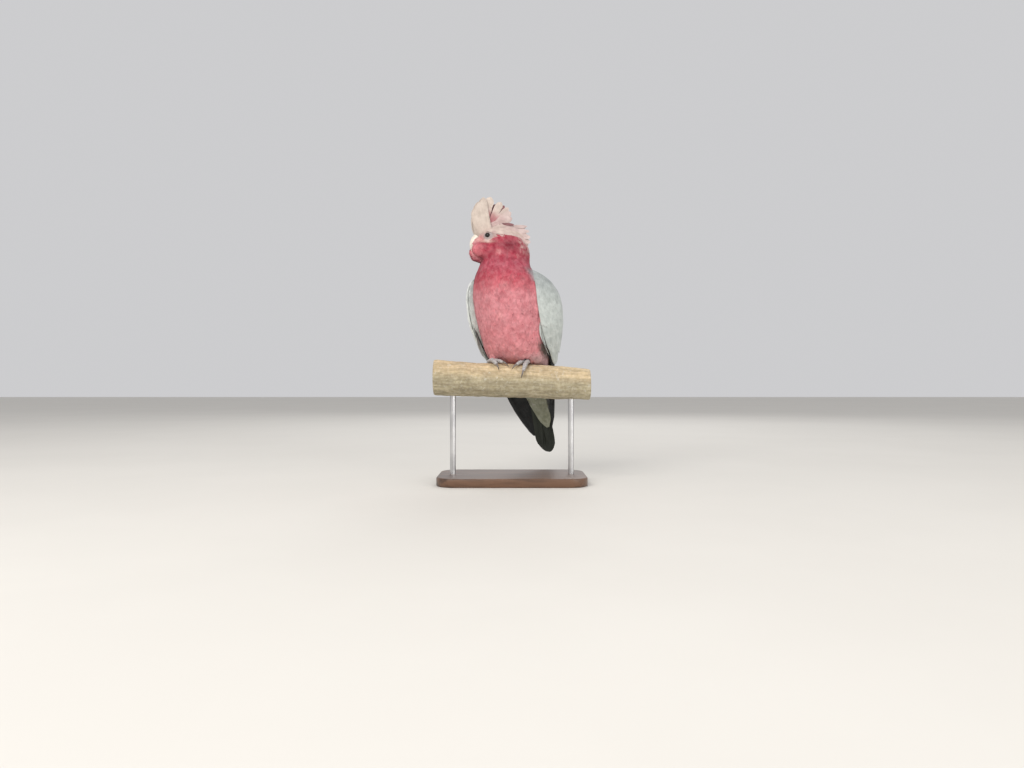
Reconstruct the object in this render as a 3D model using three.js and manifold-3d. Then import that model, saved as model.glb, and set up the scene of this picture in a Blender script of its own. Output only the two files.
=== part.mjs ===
// A galah (rose-breasted cockatoo) at life size, perched on a cut length of branch that stands on
// a plain display stand. Millimetres, +Z up. The origin is the middle of the stand base's underside
// and the bird looks out over -Y, turned a little towards -X, with its head turned further.
//
// The bird is worked out in its own frame, which has its origin on top of the branch between the
// feet: +X is the bird's left, -Y is forwards and +Z is up. One group then turns and lifts it.
import * as THREE from "three";
import { mergeVertices } from "three/addons/utils/BufferGeometryUtils.js";
import Module from "manifold-3d";

const wasm = await Module();
wasm.setup();

// ---- driving dimensions --------------------------------------------------------------------

const GAP = 0.35; // clearance between neighbouring solids
const WIDE_GAP = 0.7; // and round thin or tightly curved ones
const FACET = 0.3; // how far a facet may lie off the surface it stands for
const DEGREE = Math.PI / 180;
const BACK = new THREE.Vector3(0, 1, 0);
const ACROSS = new THREE.Vector3(1, 0, 0);

const STAND = {
  baseLength: 204,
  baseDepth: 116,
  baseThickness: 12,
  baseEdge: 1.5, // chamfer
  baseCorner: 26, // radius in plan
  rodRadius: 4,
  rodAcross: 82, // each rod's distance from the middle
  rodSocket: 7, // how far a rod goes into the base
  rodInPerch: 12, // and into the branch
};

const PERCH = {
  top: 165, // height of the branch's top between the feet
  halfLength: 108,
  radius: 23.6,
  taper: 0.016, // radius gained for each millimetre towards +X
  slope: -0.044, // fall of the axis towards +X
};

const BIRD = {
  x: -5.5,
  y: 2,
  heading: 30, // how far the body is turned towards -X
};

// The head is turned further still, about its own middle.
const HEAD = {
  heading: 48,
  middle: new THREE.Vector2(-3.7, -14.6),
  eyeForward: 20, // of the head's middle
  eyeHeight: 172.5,
};

const EYE = { radius: 5.2, across: 15.6 };

// The feathers fluffed forward over each side of the bill.
const CHEEK = {
  halfLength: 19,
  halfWidth: 9,
  halfHeight: 12.5,
  middle: [4.2, 13, -18.5], // forward, out and up from midway between the eyes
  toeIn: 0.16,
};

// The cuts that part the body at the throat and at the foot of the neck.
const THROAT = { height: 146, tiltForward: 5, tiltSide: -9 };
const SHOULDERS = { height: 126, tiltForward: -14, tiltSide: 0 };

const COLOUR = {
  rose: 0xc4455f,
  paleCrest: 0xe9d3cc,
  grey: 0x99a1a6,
  darkGrey: 0x4c535a,
  horn: 0xd8d0bd,
  iris: 0x1c1210,
  foot: 0x8e9195,
  claw: 0x3a3a3c,
  bark: 0x9b8c72,
  standWood: 0x3a2a20,
  steel: 0x8c8f92,
};

// ---- solids ----------------------------------------------------------------------------------

// A closed three.js geometry as a manifold-3d solid, swollen by grow along its normals.
function solid(geometry, grow = 0) {
  const bare = geometry.clone();
  bare.deleteAttribute("normal");
  bare.deleteAttribute("uv");
  const merged = mergeVertices(bare, 1e-3);
  merged.computeVertexNormals();
  const normal = merged.getAttribute("normal");
  const vertProperties = merged.getAttribute("position").array.slice();
  for (let i = 0; i < vertProperties.length; i++) {
    vertProperties[i] += normal.array[i] * grow;
  }
  return new wasm.Manifold(
    new wasm.Mesh({
      numProp: 3,
      vertProperties,
      triVerts: new Uint32Array(merged.index.array),
    }),
  );
}

// And back, as a geometry that a mesh can hold.
function geometryOf(made) {
  const { numProp, vertProperties, triVerts } = made.getMesh();
  const position = new Float32Array((vertProperties.length / numProp) * 3);
  for (let i = 0; i < position.length / 3; i++) {
    position.set(vertProperties.subarray(i * numProp, i * numProp + 3), i * 3);
  }
  const geometry = new THREE.BufferGeometry();
  geometry.setAttribute("position", new THREE.BufferAttribute(position, 3));
  geometry.setIndex(new THREE.BufferAttribute(new Uint32Array(triVerts), 1));
  geometry.computeVertexNormals();
  return geometry;
}

// The largest body of a cut solid, without the slivers that a cut can leave.
function largest(made) {
  return made.decompose().reduce((a, b) => (a.volume() > b.volume() ? a : b));
}

// A sphere whose vertices move to pointAt(around, down), both from 0 to 1: around runs
// anticlockwise seen from above and down runs from the top pole to the bottom one.
function wrapped(columns, rows, pointAt) {
  const geometry = new THREE.SphereGeometry(1, columns, rows);
  const uv = geometry.getAttribute("uv");
  const position = geometry.getAttribute("position");
  for (let i = 0; i < position.count; i++) {
    position.setXYZ(i, ...pointAt(uv.getX(i), 1 - uv.getY(i)));
  }
  return geometry;
}

// Smooth values along a table of stations, at 0 for its first row and 1 for its last.
function track(rows) {
  const width = rows[0].length;
  const places = rows.map((_, i) => i / (rows.length - 1));
  const spline = new THREE.CubicInterpolant(places, rows.flat(), width);
  return (t) => Array.from(spline.evaluate(t));
}

// A body of round sections along a curve. radiusAt(t) gives [across, up], and its ends are domed.
function limb(curve, radiusAt, columns, rows) {
  const side = new THREE.Vector3();
  const up = new THREE.Vector3();
  return wrapped(columns, rows, (around, down) => {
    const bend = (1 - Math.cos(down * Math.PI)) / 2;
    const place = curve.getPointAt(bend);
    const along = curve.getTangentAt(bend);
    side.crossVectors(along, curve.upward).normalize();
    up.crossVectors(side, along).normalize();
    const [across, thick] = radiusAt(bend);
    const dome = Math.sqrt(Math.max(0, 1 - Math.pow(2 * bend - 1, 8)));
    const turn = around * 2 * Math.PI;
    place.addScaledVector(side, Math.cos(turn) * across * dome);
    place.addScaledVector(up, Math.sin(turn) * thick * dome);
    return place.toArray();
  });
}

function curveThrough(points, upward) {
  const curve = new THREE.CatmullRomCurve3(points);
  curve.upward = upward;
  return curve;
}

function ellipsoid(centre, radii, columns, rows) {
  return new THREE.SphereGeometry(1, columns, rows)
    .scale(radii.x, radii.y, radii.z)
    .translate(centre.x, centre.y, centre.z);
}

const joined = (made) => made.reduce((a, b) => a.add(b));

// ---- frames on the bird ------------------------------------------------------------------------

// A point given by how far it is forward of, left of and above a place, for a heading in degrees.
function onHeading(heading, middle, forward, left, height) {
  const turn = heading * DEGREE;
  return new THREE.Vector3(
    middle.x - forward * Math.sin(turn) + left * Math.cos(turn),
    middle.y - forward * Math.cos(turn) - left * Math.sin(turn),
    height,
  );
}

// A point on the head, measured forward, left and up from midway between the eyes.
function onHead(forward, left, up) {
  return onHeading(
    HEAD.heading,
    HEAD.middle,
    HEAD.eyeForward + forward,
    left,
    HEAD.eyeHeight + up,
  );
}

// ---- head, neck and trunk ------------------------------------------------------------------------

// Level slices, lowest first: height, middle x and y, length forward, length back, half width and
// heading. They run from the vent behind the branch up to the crown.
const bodySlices = track([
  [-48, 3, 74, 0, 0, 0, 0],
  [-44, 3, 72, 5, 6, 8, 0],
  [-34, 3, 66, 12, 14, 18, 0],
  [-20, 2, 58, 19, 21, 27, 0],
  [-8, 1, 48, 27, 28, 35, 0],
  [0, 0, 40, 35, 33, 41, 0],
  [7, 0, 33, 41, 38, 44.5, 0],
  [18, 0, 27, 46, 41, 46.5, 0],
  [36, 0, 19, 47, 43, 48, 0],
  [57, 0, 11, 48, 45, 49.5, 0],
  [80, 0, 3, 49, 45, 50, 0],
  [100, 0, -2, 48, 43, 48.5, 0],
  [115, 0, -6, 44, 42, 45, 3],
  [125, 0, -9, 39, 40, 40.5, 10],
  [133, -1, -12, 33.5, 40, 36.5, 24],
  [141, -3, -14, 28.5, 41, 33, 38],
  [150, -3.7, -14.6, 27.5, 42, 30.5, 46],
  [161, -3.7, -14.6, 32, 40, 27.5, 48],
  [171, -3.7, -14.6, 35.5, 36.5, 24.5, 48],
  [180, -3.7, -14.6, 32, 32, 20.5, 48],
  [187, -3.7, -14.6, 22, 22, 14, 48],
  [191, -3.7, -14.6, 10, 10, 7, 48],
  [192, -3.7, -14.6, 0, 0, 0, 48],
]);

function bodyLoft() {
  return wrapped(24, 25, (around, down) => {
    const [z, x, y, front, back, half, heading] = bodySlices(1 - down);
    const turn = around * 2 * Math.PI;
    const length = Math.sin(turn) > 0 ? back : front;
    return onHeading(
      heading,
      { x, y },
      -Math.sin(turn) * Math.max(length, 0),
      Math.cos(turn) * Math.max(half, 0),
      z,
    ).toArray();
  });
}

function cheek(side) {
  const { halfLength, halfWidth, halfHeight, middle, toeIn } = CHEEK;
  const radii = new THREE.Vector3(halfLength, halfWidth, halfHeight);
  const centre = onHead(middle[0], side * middle[1], middle[2]);
  return ellipsoid(new THREE.Vector3(), radii, 12, 8)
    .rotateZ(Math.PI / 2 - HEAD.heading * DEGREE - side * toeIn)
    .translate(centre.x, centre.y, centre.z);
}

function wholeBody(grow = 0) {
  return joined([bodyLoft(), cheek(1), cheek(-1)].map((shape) => solid(shape, grow)));
}

// ---- bill and eyes ------------------------------------------------------------------------------

// Both halves follow lines in the head's middle plane, given forward of and above the eyes, and
// have sections given as half depth and half width.
const UPPER_BILL = {
  line: [
    [2, -1],
    [10.5, -1.5],
    [15.2, -7],
    [16.2, -14],
    [15, -21],
    [12.6, -26.5],
  ],
  sections: track([
    [7, 6.4],
    [7.6, 6.6],
    [7.2, 6.2],
    [5.8, 5],
    [3.6, 3.2],
    [1.1, 0.9],
  ]),
};
const LOWER_BILL = {
  line: [
    [-1, -17.5],
    [5, -20],
    [9.6, -23.5],
    [11, -28],
  ],
  sections: track([
    [4, 5.2],
    [3.6, 5.4],
    [2.6, 4.4],
    [1.2, 2.2],
  ]),
};

function bill({ line, sections }, columns, rows) {
  const places = line.map(([forward, up]) => onHead(forward, 0, up));
  const left = onHead(0, 1, 0).sub(onHead(0, 0, 0));
  return limb(curveThrough(places, left), sections, columns, rows);
}

const upperBill = () => bill(UPPER_BILL, 12, 10);
const lowerBill = () => bill(LOWER_BILL, 10, 6);

function eye(side) {
  const size = new THREE.Vector3().setScalar(EYE.radius);
  return ellipsoid(onHead(0, side * EYE.across, 0), size, 10, 8);
}

// ---- crest ---------------------------------------------------------------------------------------

// The raised crest is a fan of feathers that opens in the head's middle plane from a point low in
// the crown. Its rim: how far each feather's tip is forward of and above the eyes, front to back.
const CREST = {
  root: [-14, 4],
  front: [18, 3],
  tips: [
    [23.5, 24],
    [16, 48],
    [5.5, 56],
    [-8.5, 56],
    [-20, 50.5],
    [-29.5, 42],
    [-35, 32],
    [-42, 23],
    [-55.5, 19],
    [-59.5, 8.5],
    [-60.5, -3],
  ],
  back: [-44, -12],
  notch: 0.09, // depth of the notches between the tips, as a share of the fan's reach
  halfWidth: 17, // across the crown
  rimWidth: 0.6, // share of that width left at the tips
};

function crestFan() {
  const rim = new THREE.SplineCurve(
    [CREST.front, ...CREST.tips, CREST.back].map((place) => new THREE.Vector2(...place)),
  );
  const feathers = CREST.tips.length;
  return wrapped(8, (feathers + 1) * 3, (around, down) => {
    const { x, y } = rim.getPoint(down);
    const lobe = Math.abs(Math.sin(Math.PI * (down * (feathers + 1) - 0.5)));
    const ends = Math.sin(Math.PI * down);
    const reach = 1 - CREST.notch * (1 - lobe) * THREE.MathUtils.smoothstep(down, 0.12, 0.2);
    const turn = around * 2 * Math.PI;
    const atPole = down === 0 || down === 1;
    const out = atPole ? 0.5 : ((1 - Math.cos(turn)) / 2) * reach;
    const width = CREST.halfWidth * Math.pow(ends, 0.45);
    const left = Math.sin(turn) * width * (1 - (1 - CREST.rimWidth) * out);
    const [rootForward, rootUp] = CREST.root;
    return onHead(
      rootForward + (x - rootForward) * out,
      left,
      rootUp + (y - rootUp) * out,
    ).toArray();
  });
}

// ---- wings ---------------------------------------------------------------------------------------

// Level slices of the folded left wing, highest first: height, leading edge x and y, trailing edge
// x and y, how far the middle bulges out and the thickness there.
const wingSlices = track([
  [131, 32, 7, 30, 9, 0, 0],
  [128, 32, -2, 22, 12, 7, 8],
  [121, 39, -6, 17, 24, 14, 13],
  [111, 45, -9, 13, 35, 21, 15],
  [97, 47.5, -10, 9, 45, 28, 16],
  [78, 48, -7, 6, 54, 31, 16],
  [55, 48, 1, 5, 61, 29, 15],
  [32, 47, 16, 4.5, 67, 23, 12.5],
  [10, 46, 35, 4.5, 76, 15, 9.5],
  [-15, 43, 55, 4.5, 87, 8, 7],
  [-42, 38, 65, 4.5, 94, 5, 5],
  [-70, 30, 80, 4.5, 102, 3, 3.6],
  [-92, 18, 93, 5, 108, 1.5, 2.6],
  [-104, 10, 103, 6, 111, 0.5, 1.8],
  [-108, 8, 108, 8, 110, 0, 0],
]);

// How far each wing's leading edge is held away from the body, at its shoulder and at its tip.
const HELD_OUT = { left: [2, 6], right: [13, 13] };
const HINGE = 0.7; // the trailing edge moves out by this share less
const WING_ARCH = 2.2; // higher is squarer from edge to edge

function wing(side, grow = 0) {
  const made = wrapped(18, 16, (around, down) => {
    const [z, leadX, leadY, trailX, trailY, bulge, thickness] = wingSlices(down);
    const turn = around * 2 * Math.PI;
    const atPole = down === 0 || down === 1;
    const across = atPole ? 0.5 : (1 - Math.cos(turn)) / 2;
    const chord = new THREE.Vector2(trailX - leadX, trailY - leadY);
    const out = new THREE.Vector2(chord.y, -chord.x).normalize();
    const rise = bulge * (1 - Math.pow(Math.abs(2 * across - 1), WING_ARCH));
    const offset = rise + (Math.sin(turn) * Math.max(thickness, 0)) / 2;
    const [shoulder, tip] = side > 0 ? HELD_OUT.left : HELD_OUT.right;
    const heldOut = (shoulder + (tip - shoulder) * down) * (1 - HINGE * across);
    return [
      heldOut + leadX + chord.x * across + out.x * offset,
      leadY + chord.y * across + out.y * offset,
      z,
    ];
  });
  return side > 0 ? solid(made, grow) : solid(made, grow).mirror([1, 0, 0]);
}

// ---- tail ----------------------------------------------------------------------------------------

const TAIL_LINE = [
  new THREE.Vector3(4, 62, -2),
  new THREE.Vector3(5, 81, -48),
  new THREE.Vector3(4, 98, -86),
  new THREE.Vector3(1, 120, -134),
];

// The soft coverts under the tail's root, which run down from the vent to a blunt point.
const UNDERTAIL_LINE = [
  new THREE.Vector3(4, 60, -16),
  new THREE.Vector3(6, 70, -44),
  new THREE.Vector3(7, 80, -68),
  new THREE.Vector3(8, 89, -92),
];

// Half width and half thickness from root to tip.
const tailSections = track([
  [14, 5],
  [17, 4.2],
  [19, 3.2],
  [19.5, 2.4],
  [18.5, 1.7],
  [12.5, 1.1],
]);
const undertailSections = track([
  [15, 7],
  [17, 6.5],
  [14, 5.5],
  [9, 3.6],
  [5, 1.6],
]);

const tail = () => limb(curveThrough(TAIL_LINE, BACK), tailSections, 16, 10);
const undertail = () => limb(curveThrough(UNDERTAIL_LINE, BACK), undertailSections, 10, 7);

// ---- legs and feet ---------------------------------------------------------------------------------

// The branch's axis, and how far its bark is from it. turn is 0 on top and grows towards the front.
const BARK = {
  sway: 1.4, // of the axis from front to back
  sag: 0.9,
  oval: 0.5,
  lobes: 0.35,
  knots: [
    { place: -66, facing: 1.2, high: 2.6, wide: 9 },
    { place: 64, facing: 2.3, high: 3, wide: 10 },
  ],
};

function perchAxis(x) {
  return {
    y: BARK.sway * Math.sin(x / 41 + 0.6),
    z: PERCH.top - PERCH.radius + PERCH.slope * x + BARK.sag * Math.sin(x / 29),
  };
}

function perchRadius(x, turn) {
  let radius = PERCH.radius + PERCH.taper * x;
  radius += BARK.oval * Math.sin(2 * turn + x / 33);
  radius += BARK.lobes * Math.sin(3 * turn - x / 21);
  for (const { place, facing, high, wide } of BARK.knots) {
    const facingIt = Math.pow(Math.max(0, Math.cos(turn - facing)), 3);
    radius += high * Math.exp(-Math.pow((x - place) / wide, 2)) * facingIt;
  }
  return radius;
}

function onPerch(x, turn, out) {
  const axis = perchAxis(x);
  const reach = perchRadius(x, turn) + out;
  return new THREE.Vector3(
    x,
    axis.y - reach * Math.sin(turn),
    axis.z + reach * Math.cos(turn),
  );
}

// Where each foot's middle is along the branch, and its toes: where each starts and ends along the
// branch and round it (degrees from the top, + to the front), its radius and its claw's length.
const FEET = {
  left: {
    x: 25,
    toes: [
      { from: [24, -8], to: [15, 62], radius: 3.7, claw: 11 },
      { from: [22, -6], to: [6, 38], radius: 3.3, claw: 9 },
      { from: [26, 2], to: [36, -68], radius: 3.6, claw: 11 },
      { from: [23, 0], to: [14, -46], radius: 3.2, claw: 9 },
    ],
  },
  right: {
    x: -27,
    toes: [
      { from: [-30, -8], to: [-21, 40], radius: 3.7, claw: 9 },
      { from: [-27, -6], to: [-12, 27], radius: 3.3, claw: 8 },
      { from: [-29, 2], to: [-38, -66], radius: 3.6, claw: 11 },
      { from: [-26, 0], to: [-18, -46], radius: 3.2, claw: 9 },
    ],
  },
};

const TOE_SIDE = new THREE.Vector3(1, 0, 0.2);
const TOE_TAPER = 0.16;
const TOE_PADS = { depth: 0.08, count: 3 };
const CLAW = { start: 0.94, radius: 2, tipRadius: 0.55, arch: 2.2 };

// A place on a toe: share is 0 at its root and 1 at its end, and lift is above the bark.
function onToe({ from, to }, share, lift) {
  const x = from[0] + (to[0] - from[0]) * share;
  const turn = (from[1] + (to[1] - from[1]) * share) * DEGREE;
  return onPerch(x, turn, GAP + lift);
}

function toe(spec) {
  const steps = [0, 1, 2, 3, 4, 5, 6];
  const places = steps.map((step) => onToe(spec, step / 6, spec.radius));
  const radii = (t) => {
    const pad = TOE_PADS.depth * Math.cos(2 * Math.PI * TOE_PADS.count * t);
    const radius = spec.radius * (1 - TOE_PADS.depth - TOE_TAPER * t + pad);
    return [radius, radius];
  };
  return limb(curveThrough(places, TOE_SIDE), radii, 6, 7);
}

function claw(spec) {
  const toeLength = Math.abs(spec.to[1] - spec.from[1]) * DEGREE * PERCH.radius;
  const low = 2 * CLAW.tipRadius;
  const places = [0, 0.35, 0.7, 1].map((share) => {
    const arch = CLAW.arch * Math.sin(Math.PI * share);
    const lift = low + arch + (1 - share) * (spec.radius - low);
    return onToe(spec, CLAW.start + (share * spec.claw) / toeLength, lift);
  });
  const radii = (t) => {
    const radius = Math.max(CLAW.tipRadius, CLAW.radius * (1 - 0.8 * t));
    return [radius, radius];
  };
  return limb(curveThrough(places, TOE_SIDE), radii, 6, 5);
}

// Each leg's line from the toes' root up into the belly: how far back, up from the top of the
// branch and in towards the other leg, with its radius.
const SHANK = [
  { back: 1, up: -5, inward: 0, radius: 4.2 },
  { back: 3, up: 9, inward: 0, radius: 5 },
  { back: 9, up: 16, inward: 0.08, radius: 7 },
  { back: 16, up: 24, inward: 0.18, radius: 4 },
];

function shank(foot) {
  const root = onToe(foot.toes[0], 0, foot.toes[0].radius);
  const places = SHANK.map(
    ({ back, up, inward }) =>
      new THREE.Vector3(foot.x * (1 - inward), root.y + back, PERCH.top + up),
  );
  const radii = track(SHANK.map(({ radius }) => [radius, radius]));
  return limb(curveThrough(places, ACROSS), radii, 10, 7);
}

// ---- branch and stand --------------------------------------------------------------------------------

function perch() {
  const bark = new THREE.CylinderGeometry(1, 1, 1, 20, 12);
  const position = bark.getAttribute("position");
  for (let i = 0; i < position.count; i++) {
    const x = position.getY(i) * 2 * PERCH.halfLength;
    const turn = Math.atan2(position.getX(i), position.getZ(i));
    const out = Math.hypot(position.getX(i), position.getZ(i)) > 0.5 ? 1 : 0;
    const axis = perchAxis(x);
    const reach = out * perchRadius(x, turn);
    position.setXYZ(
      i,
      x,
      axis.y - reach * Math.sin(turn),
      axis.z + reach * Math.cos(turn),
    );
  }
  return bark;
}

function standBase() {
  const { baseLength, baseDepth, baseThickness, baseEdge, baseCorner: corner } = STAND;
  const half = baseLength / 2 - baseEdge;
  const deep = baseDepth / 2 - baseEdge;
  const outline = new THREE.Shape();
  outline.moveTo(-half + corner, -deep);
  outline.lineTo(half - corner, -deep);
  outline.absarc(half - corner, -deep + corner, corner, -Math.PI / 2, 0);
  outline.lineTo(half, deep - corner);
  outline.absarc(half - corner, deep - corner, corner, 0, Math.PI / 2);
  outline.lineTo(-half + corner, deep);
  outline.absarc(-half + corner, deep - corner, corner, Math.PI / 2, Math.PI);
  outline.lineTo(-half, -deep + corner);
  outline.absarc(-half + corner, -deep + corner, corner, Math.PI, 1.5 * Math.PI);
  return new THREE.ExtrudeGeometry(outline, {
    depth: baseThickness - 2 * baseEdge,
    bevelSize: baseEdge,
    bevelThickness: baseEdge,
    bevelSegments: 1,
    curveSegments: 3,
  }).translate(0, 0, baseEdge);
}

// One rod, or the socket that it needs: the rod with some clearance all round it.
function rod(side, clear = 0) {
  const x = side * STAND.rodAcross;
  const axis = perchAxis(x);
  const radius = STAND.rodRadius + clear;
  const low = STAND.baseThickness - STAND.rodSocket - clear;
  const high = axis.z - perchRadius(x, Math.PI) + STAND.rodInPerch + clear;
  return new THREE.CylinderGeometry(radius, radius, high - low, 16)
    .rotateX(Math.PI / 2)
    .translate(x, axis.y, (low + high) / 2);
}

// ---- assembly ----------------------------------------------------------------------------------------

const galah = new THREE.Group();

function show(name, made, colour, roughness = 0.8, metalness = 0) {
  const material = new THREE.MeshStandardMaterial({ color: colour, roughness, metalness });
  const mesh = new THREE.Mesh(geometryOf(largest(made.simplify(FACET))), material);
  mesh.name = name;
  galah.add(mesh);
  return mesh;
}

// The bird's frame in the part's frame.
const stance = new THREE.Matrix4()
  .makeTranslation(BIRD.x, BIRD.y, PERCH.top)
  .multiply(new THREE.Matrix4().makeRotationZ(-BIRD.heading * DEGREE));
const placed = (made) => made.transform(Array.from(stance.elements));

// Everything above a cut, or above a level a little lower than it, in the bird's frame.
function over(cut, drop) {
  return solid(
    new THREE.BoxGeometry(300, 300, 200)
      .translate(0, 0, 100)
      .rotateX(cut.tiltForward * DEGREE)
      .rotateY(cut.tiltSide * DEGREE)
      .translate(HEAD.middle.x, HEAD.middle.y, cut.height - drop),
  );
}

const feet = Object.entries(FEET);
const bothSides = (made) => made(1).add(made(-1));

// The room that each part needs: itself and the clearance round it.
const wingRoom = bothSides((side) => wing(side, GAP).add(wing(side, 2 * WIDE_GAP)));
const perchRoom = solid(perch(), WIDE_GAP);
const tailRoom = solid(tail(), WIDE_GAP);
const legRoom = joined(feet.map(([, foot]) => solid(shank(foot), GAP)));
const toeRoom = joined(
  feet
    .flatMap(([, foot]) => foot.toes)
    .flatMap((spec) => [solid(toe(spec), WIDE_GAP), solid(claw(spec), WIDE_GAP)]),
);
const billRoom = solid(upperBill(), GAP).add(solid(lowerBill(), GAP));
const eyeRoom = bothSides((side) => solid(eye(side), GAP));
const rodRoom = bothSides((side) => solid(rod(side, GAP)));

const body = wholeBody();
const head = body.intersect(over(THROAT, 0)).subtract(billRoom).subtract(eyeRoom);
const neck = body
  .subtract(over(THROAT, GAP))
  .intersect(over(SHOULDERS, 0))
  .subtract(wingRoom);
const trunk = body
  .subtract(over(SHOULDERS, GAP))
  .subtract(wingRoom)
  .subtract(tailRoom)
  .subtract(solid(undertail(), WIDE_GAP));

show("head", placed(head), COLOUR.rose);
show("neck", placed(neck), COLOUR.rose);
show(
  "trunk",
  placed(trunk).subtract(perchRoom).subtract(legRoom).subtract(toeRoom),
  COLOUR.rose,
);
show(
  "crest",
  placed(solid(crestFan()).subtract(wholeBody(GAP)).subtract(eyeRoom).subtract(billRoom)),
  COLOUR.paleCrest,
);
show("bill_upper", placed(solid(upperBill())), COLOUR.horn, 0.45);
show(
  "bill_lower",
  placed(solid(lowerBill()).subtract(solid(upperBill(), GAP))),
  COLOUR.horn,
  0.45,
);
show("eye_left", placed(solid(eye(1))), COLOUR.iris, 0.1);
show("eye_right", placed(solid(eye(-1))), COLOUR.iris, 0.1);
show("wing_left", placed(wing(1)), COLOUR.grey);
show("wing_right", placed(wing(-1)), COLOUR.grey);
show("tail", placed(solid(tail()).subtract(wingRoom)), COLOUR.darkGrey);
show(
  "undertail",
  placed(solid(undertail()).subtract(tailRoom)).subtract(perchRoom),
  COLOUR.grey,
);

for (const [side, foot] of feet) {
  const clawRoom = joined(foot.toes.map((spec) => solid(claw(spec), GAP)));
  const toes = joined(foot.toes.map((spec) => solid(toe(spec))));
  const bareToes = toes.subtract(clawRoom).subtract(solid(shank(foot), GAP));
  show("leg_" + side, solid(shank(foot)).subtract(perchRoom), COLOUR.rose);
  show("foot_" + side, bareToes, COLOUR.foot, 0.6);
  foot.toes.forEach((spec, i) => {
    show(`claw_${side}_${i + 1}`, solid(claw(spec)), COLOUR.claw, 0.4);
  });
}

show("perch", solid(perch()).subtract(rodRoom), COLOUR.bark, 0.9);
show("stand_base", solid(standBase()).subtract(rodRoom), COLOUR.standWood, 0.5);
show("stand_rod_left", solid(rod(1)), COLOUR.steel, 0.35, 1);
show("stand_rod_right", solid(rod(-1)), COLOUR.steel, 0.35, 1);

export default galah;
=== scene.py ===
# A galah perched on a cut branch over a display stand. Everything is worked out in millimetres in
# the bird's own frame and turned into the part's frame, in metres, as each piece is made.
import math
import bmesh
import bpy
import numpy as np
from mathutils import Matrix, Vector, noise
from mathutils.bvhtree import BVHTree


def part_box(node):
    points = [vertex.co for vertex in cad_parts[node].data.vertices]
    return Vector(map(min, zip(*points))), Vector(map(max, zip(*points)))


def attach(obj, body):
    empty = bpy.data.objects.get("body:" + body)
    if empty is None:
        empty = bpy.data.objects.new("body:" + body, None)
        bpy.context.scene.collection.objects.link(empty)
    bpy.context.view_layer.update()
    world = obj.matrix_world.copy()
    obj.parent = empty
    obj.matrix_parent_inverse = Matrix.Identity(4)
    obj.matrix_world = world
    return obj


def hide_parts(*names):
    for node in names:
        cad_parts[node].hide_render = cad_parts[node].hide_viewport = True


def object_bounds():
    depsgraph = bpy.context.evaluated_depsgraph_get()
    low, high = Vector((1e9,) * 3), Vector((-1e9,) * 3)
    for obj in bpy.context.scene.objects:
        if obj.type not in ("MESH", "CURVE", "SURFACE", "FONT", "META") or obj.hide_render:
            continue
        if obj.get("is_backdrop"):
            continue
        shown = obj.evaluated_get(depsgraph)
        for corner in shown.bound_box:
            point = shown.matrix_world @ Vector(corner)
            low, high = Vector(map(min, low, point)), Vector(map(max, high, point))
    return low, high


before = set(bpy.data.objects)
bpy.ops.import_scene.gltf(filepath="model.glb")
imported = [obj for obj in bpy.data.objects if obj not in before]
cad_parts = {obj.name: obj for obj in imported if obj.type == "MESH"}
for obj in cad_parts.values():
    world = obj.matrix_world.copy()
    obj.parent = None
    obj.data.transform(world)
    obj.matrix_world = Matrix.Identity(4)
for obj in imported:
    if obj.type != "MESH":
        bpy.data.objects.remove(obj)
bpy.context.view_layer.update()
print("frame loaded:", len(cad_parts), "nodes")

# Where the bird stands on the branch, and how its head is turned on its body.
stance = {"x": -5.5, "y": 2.0, "perchTop": 165.0, "heading": 30.0}
headPose = {"heading": 48.0, "x": -3.7, "y": -14.6, "eyeForward": 20.0, "eyeHeight": 172.5}
bothSides = ((1, "left"), (-1, "right"))


def together(*parts):
    # arrays of any matching shapes side by side on a last axis
    return np.stack(np.broadcast_arrays(*parts), -1)


def headingOf(pose):
    turn = math.radians(pose["heading"])
    return math.cos(turn), math.sin(turn)


def inPart(place):
    # the bird's frame (+x its left, -y forwards, z from the top of the branch) to the part's
    c, s = headingOf(stance)
    x, y, z = place[..., 0], place[..., 1], place[..., 2]
    return together(stance["x"] + x * c + y * s, stance["y"] - x * s + y * c, z + stance["perchTop"])


def inBird(place):
    c, s = headingOf(stance)
    x, y = place[..., 0] - stance["x"], place[..., 1] - stance["y"]
    return together(x * c - y * s, x * s + y * c, place[..., 2] - stance["perchTop"])


def onHead(forward, left, up):
    # a place given from midway between the eyes, in the bird's frame
    c, s = headingOf(headPose)
    ahead = headPose["eyeForward"] + np.asarray(forward, float)
    left = np.asarray(left, float)
    return together(headPose["x"] - ahead * s + left * c, headPose["y"] - ahead * c - left * s,
                    headPose["eyeHeight"] + np.asarray(up, float))


def headTurned(forward, left, up):
    # a direction given on the head, in the bird's frame
    return onHead(forward, left, up) - onHead(0.0, 0.0, 0.0)


def fromHead(place):
    c, s = headingOf(headPose)
    x, y = place[..., 0] - headPose["x"], place[..., 1] - headPose["y"]
    return -x * s - y * c - headPose["eyeForward"], x * c - y * s, place[..., 2] - headPose["eyeHeight"]


def unit(v):
    return v / np.maximum(np.linalg.norm(v, axis=-1, keepdims=True), 1e-9)


def ease(low, high, value):
    # from 0 at low to 1 at high, which may be the smaller of the two
    t = np.clip((value - low) / (high - low), 0.0, 1.0)
    return t * t * (3 - 2 * t)


def roundTurn(columns):
    return np.linspace(0, 2 * math.pi, columns, endpoint=False)


def gathered(low, high, rows):
    # shares that crowd together towards both ends of the run from 0 to 1
    return (1 - np.cos(np.linspace(low, high, rows) * math.pi)) / 2


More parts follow.
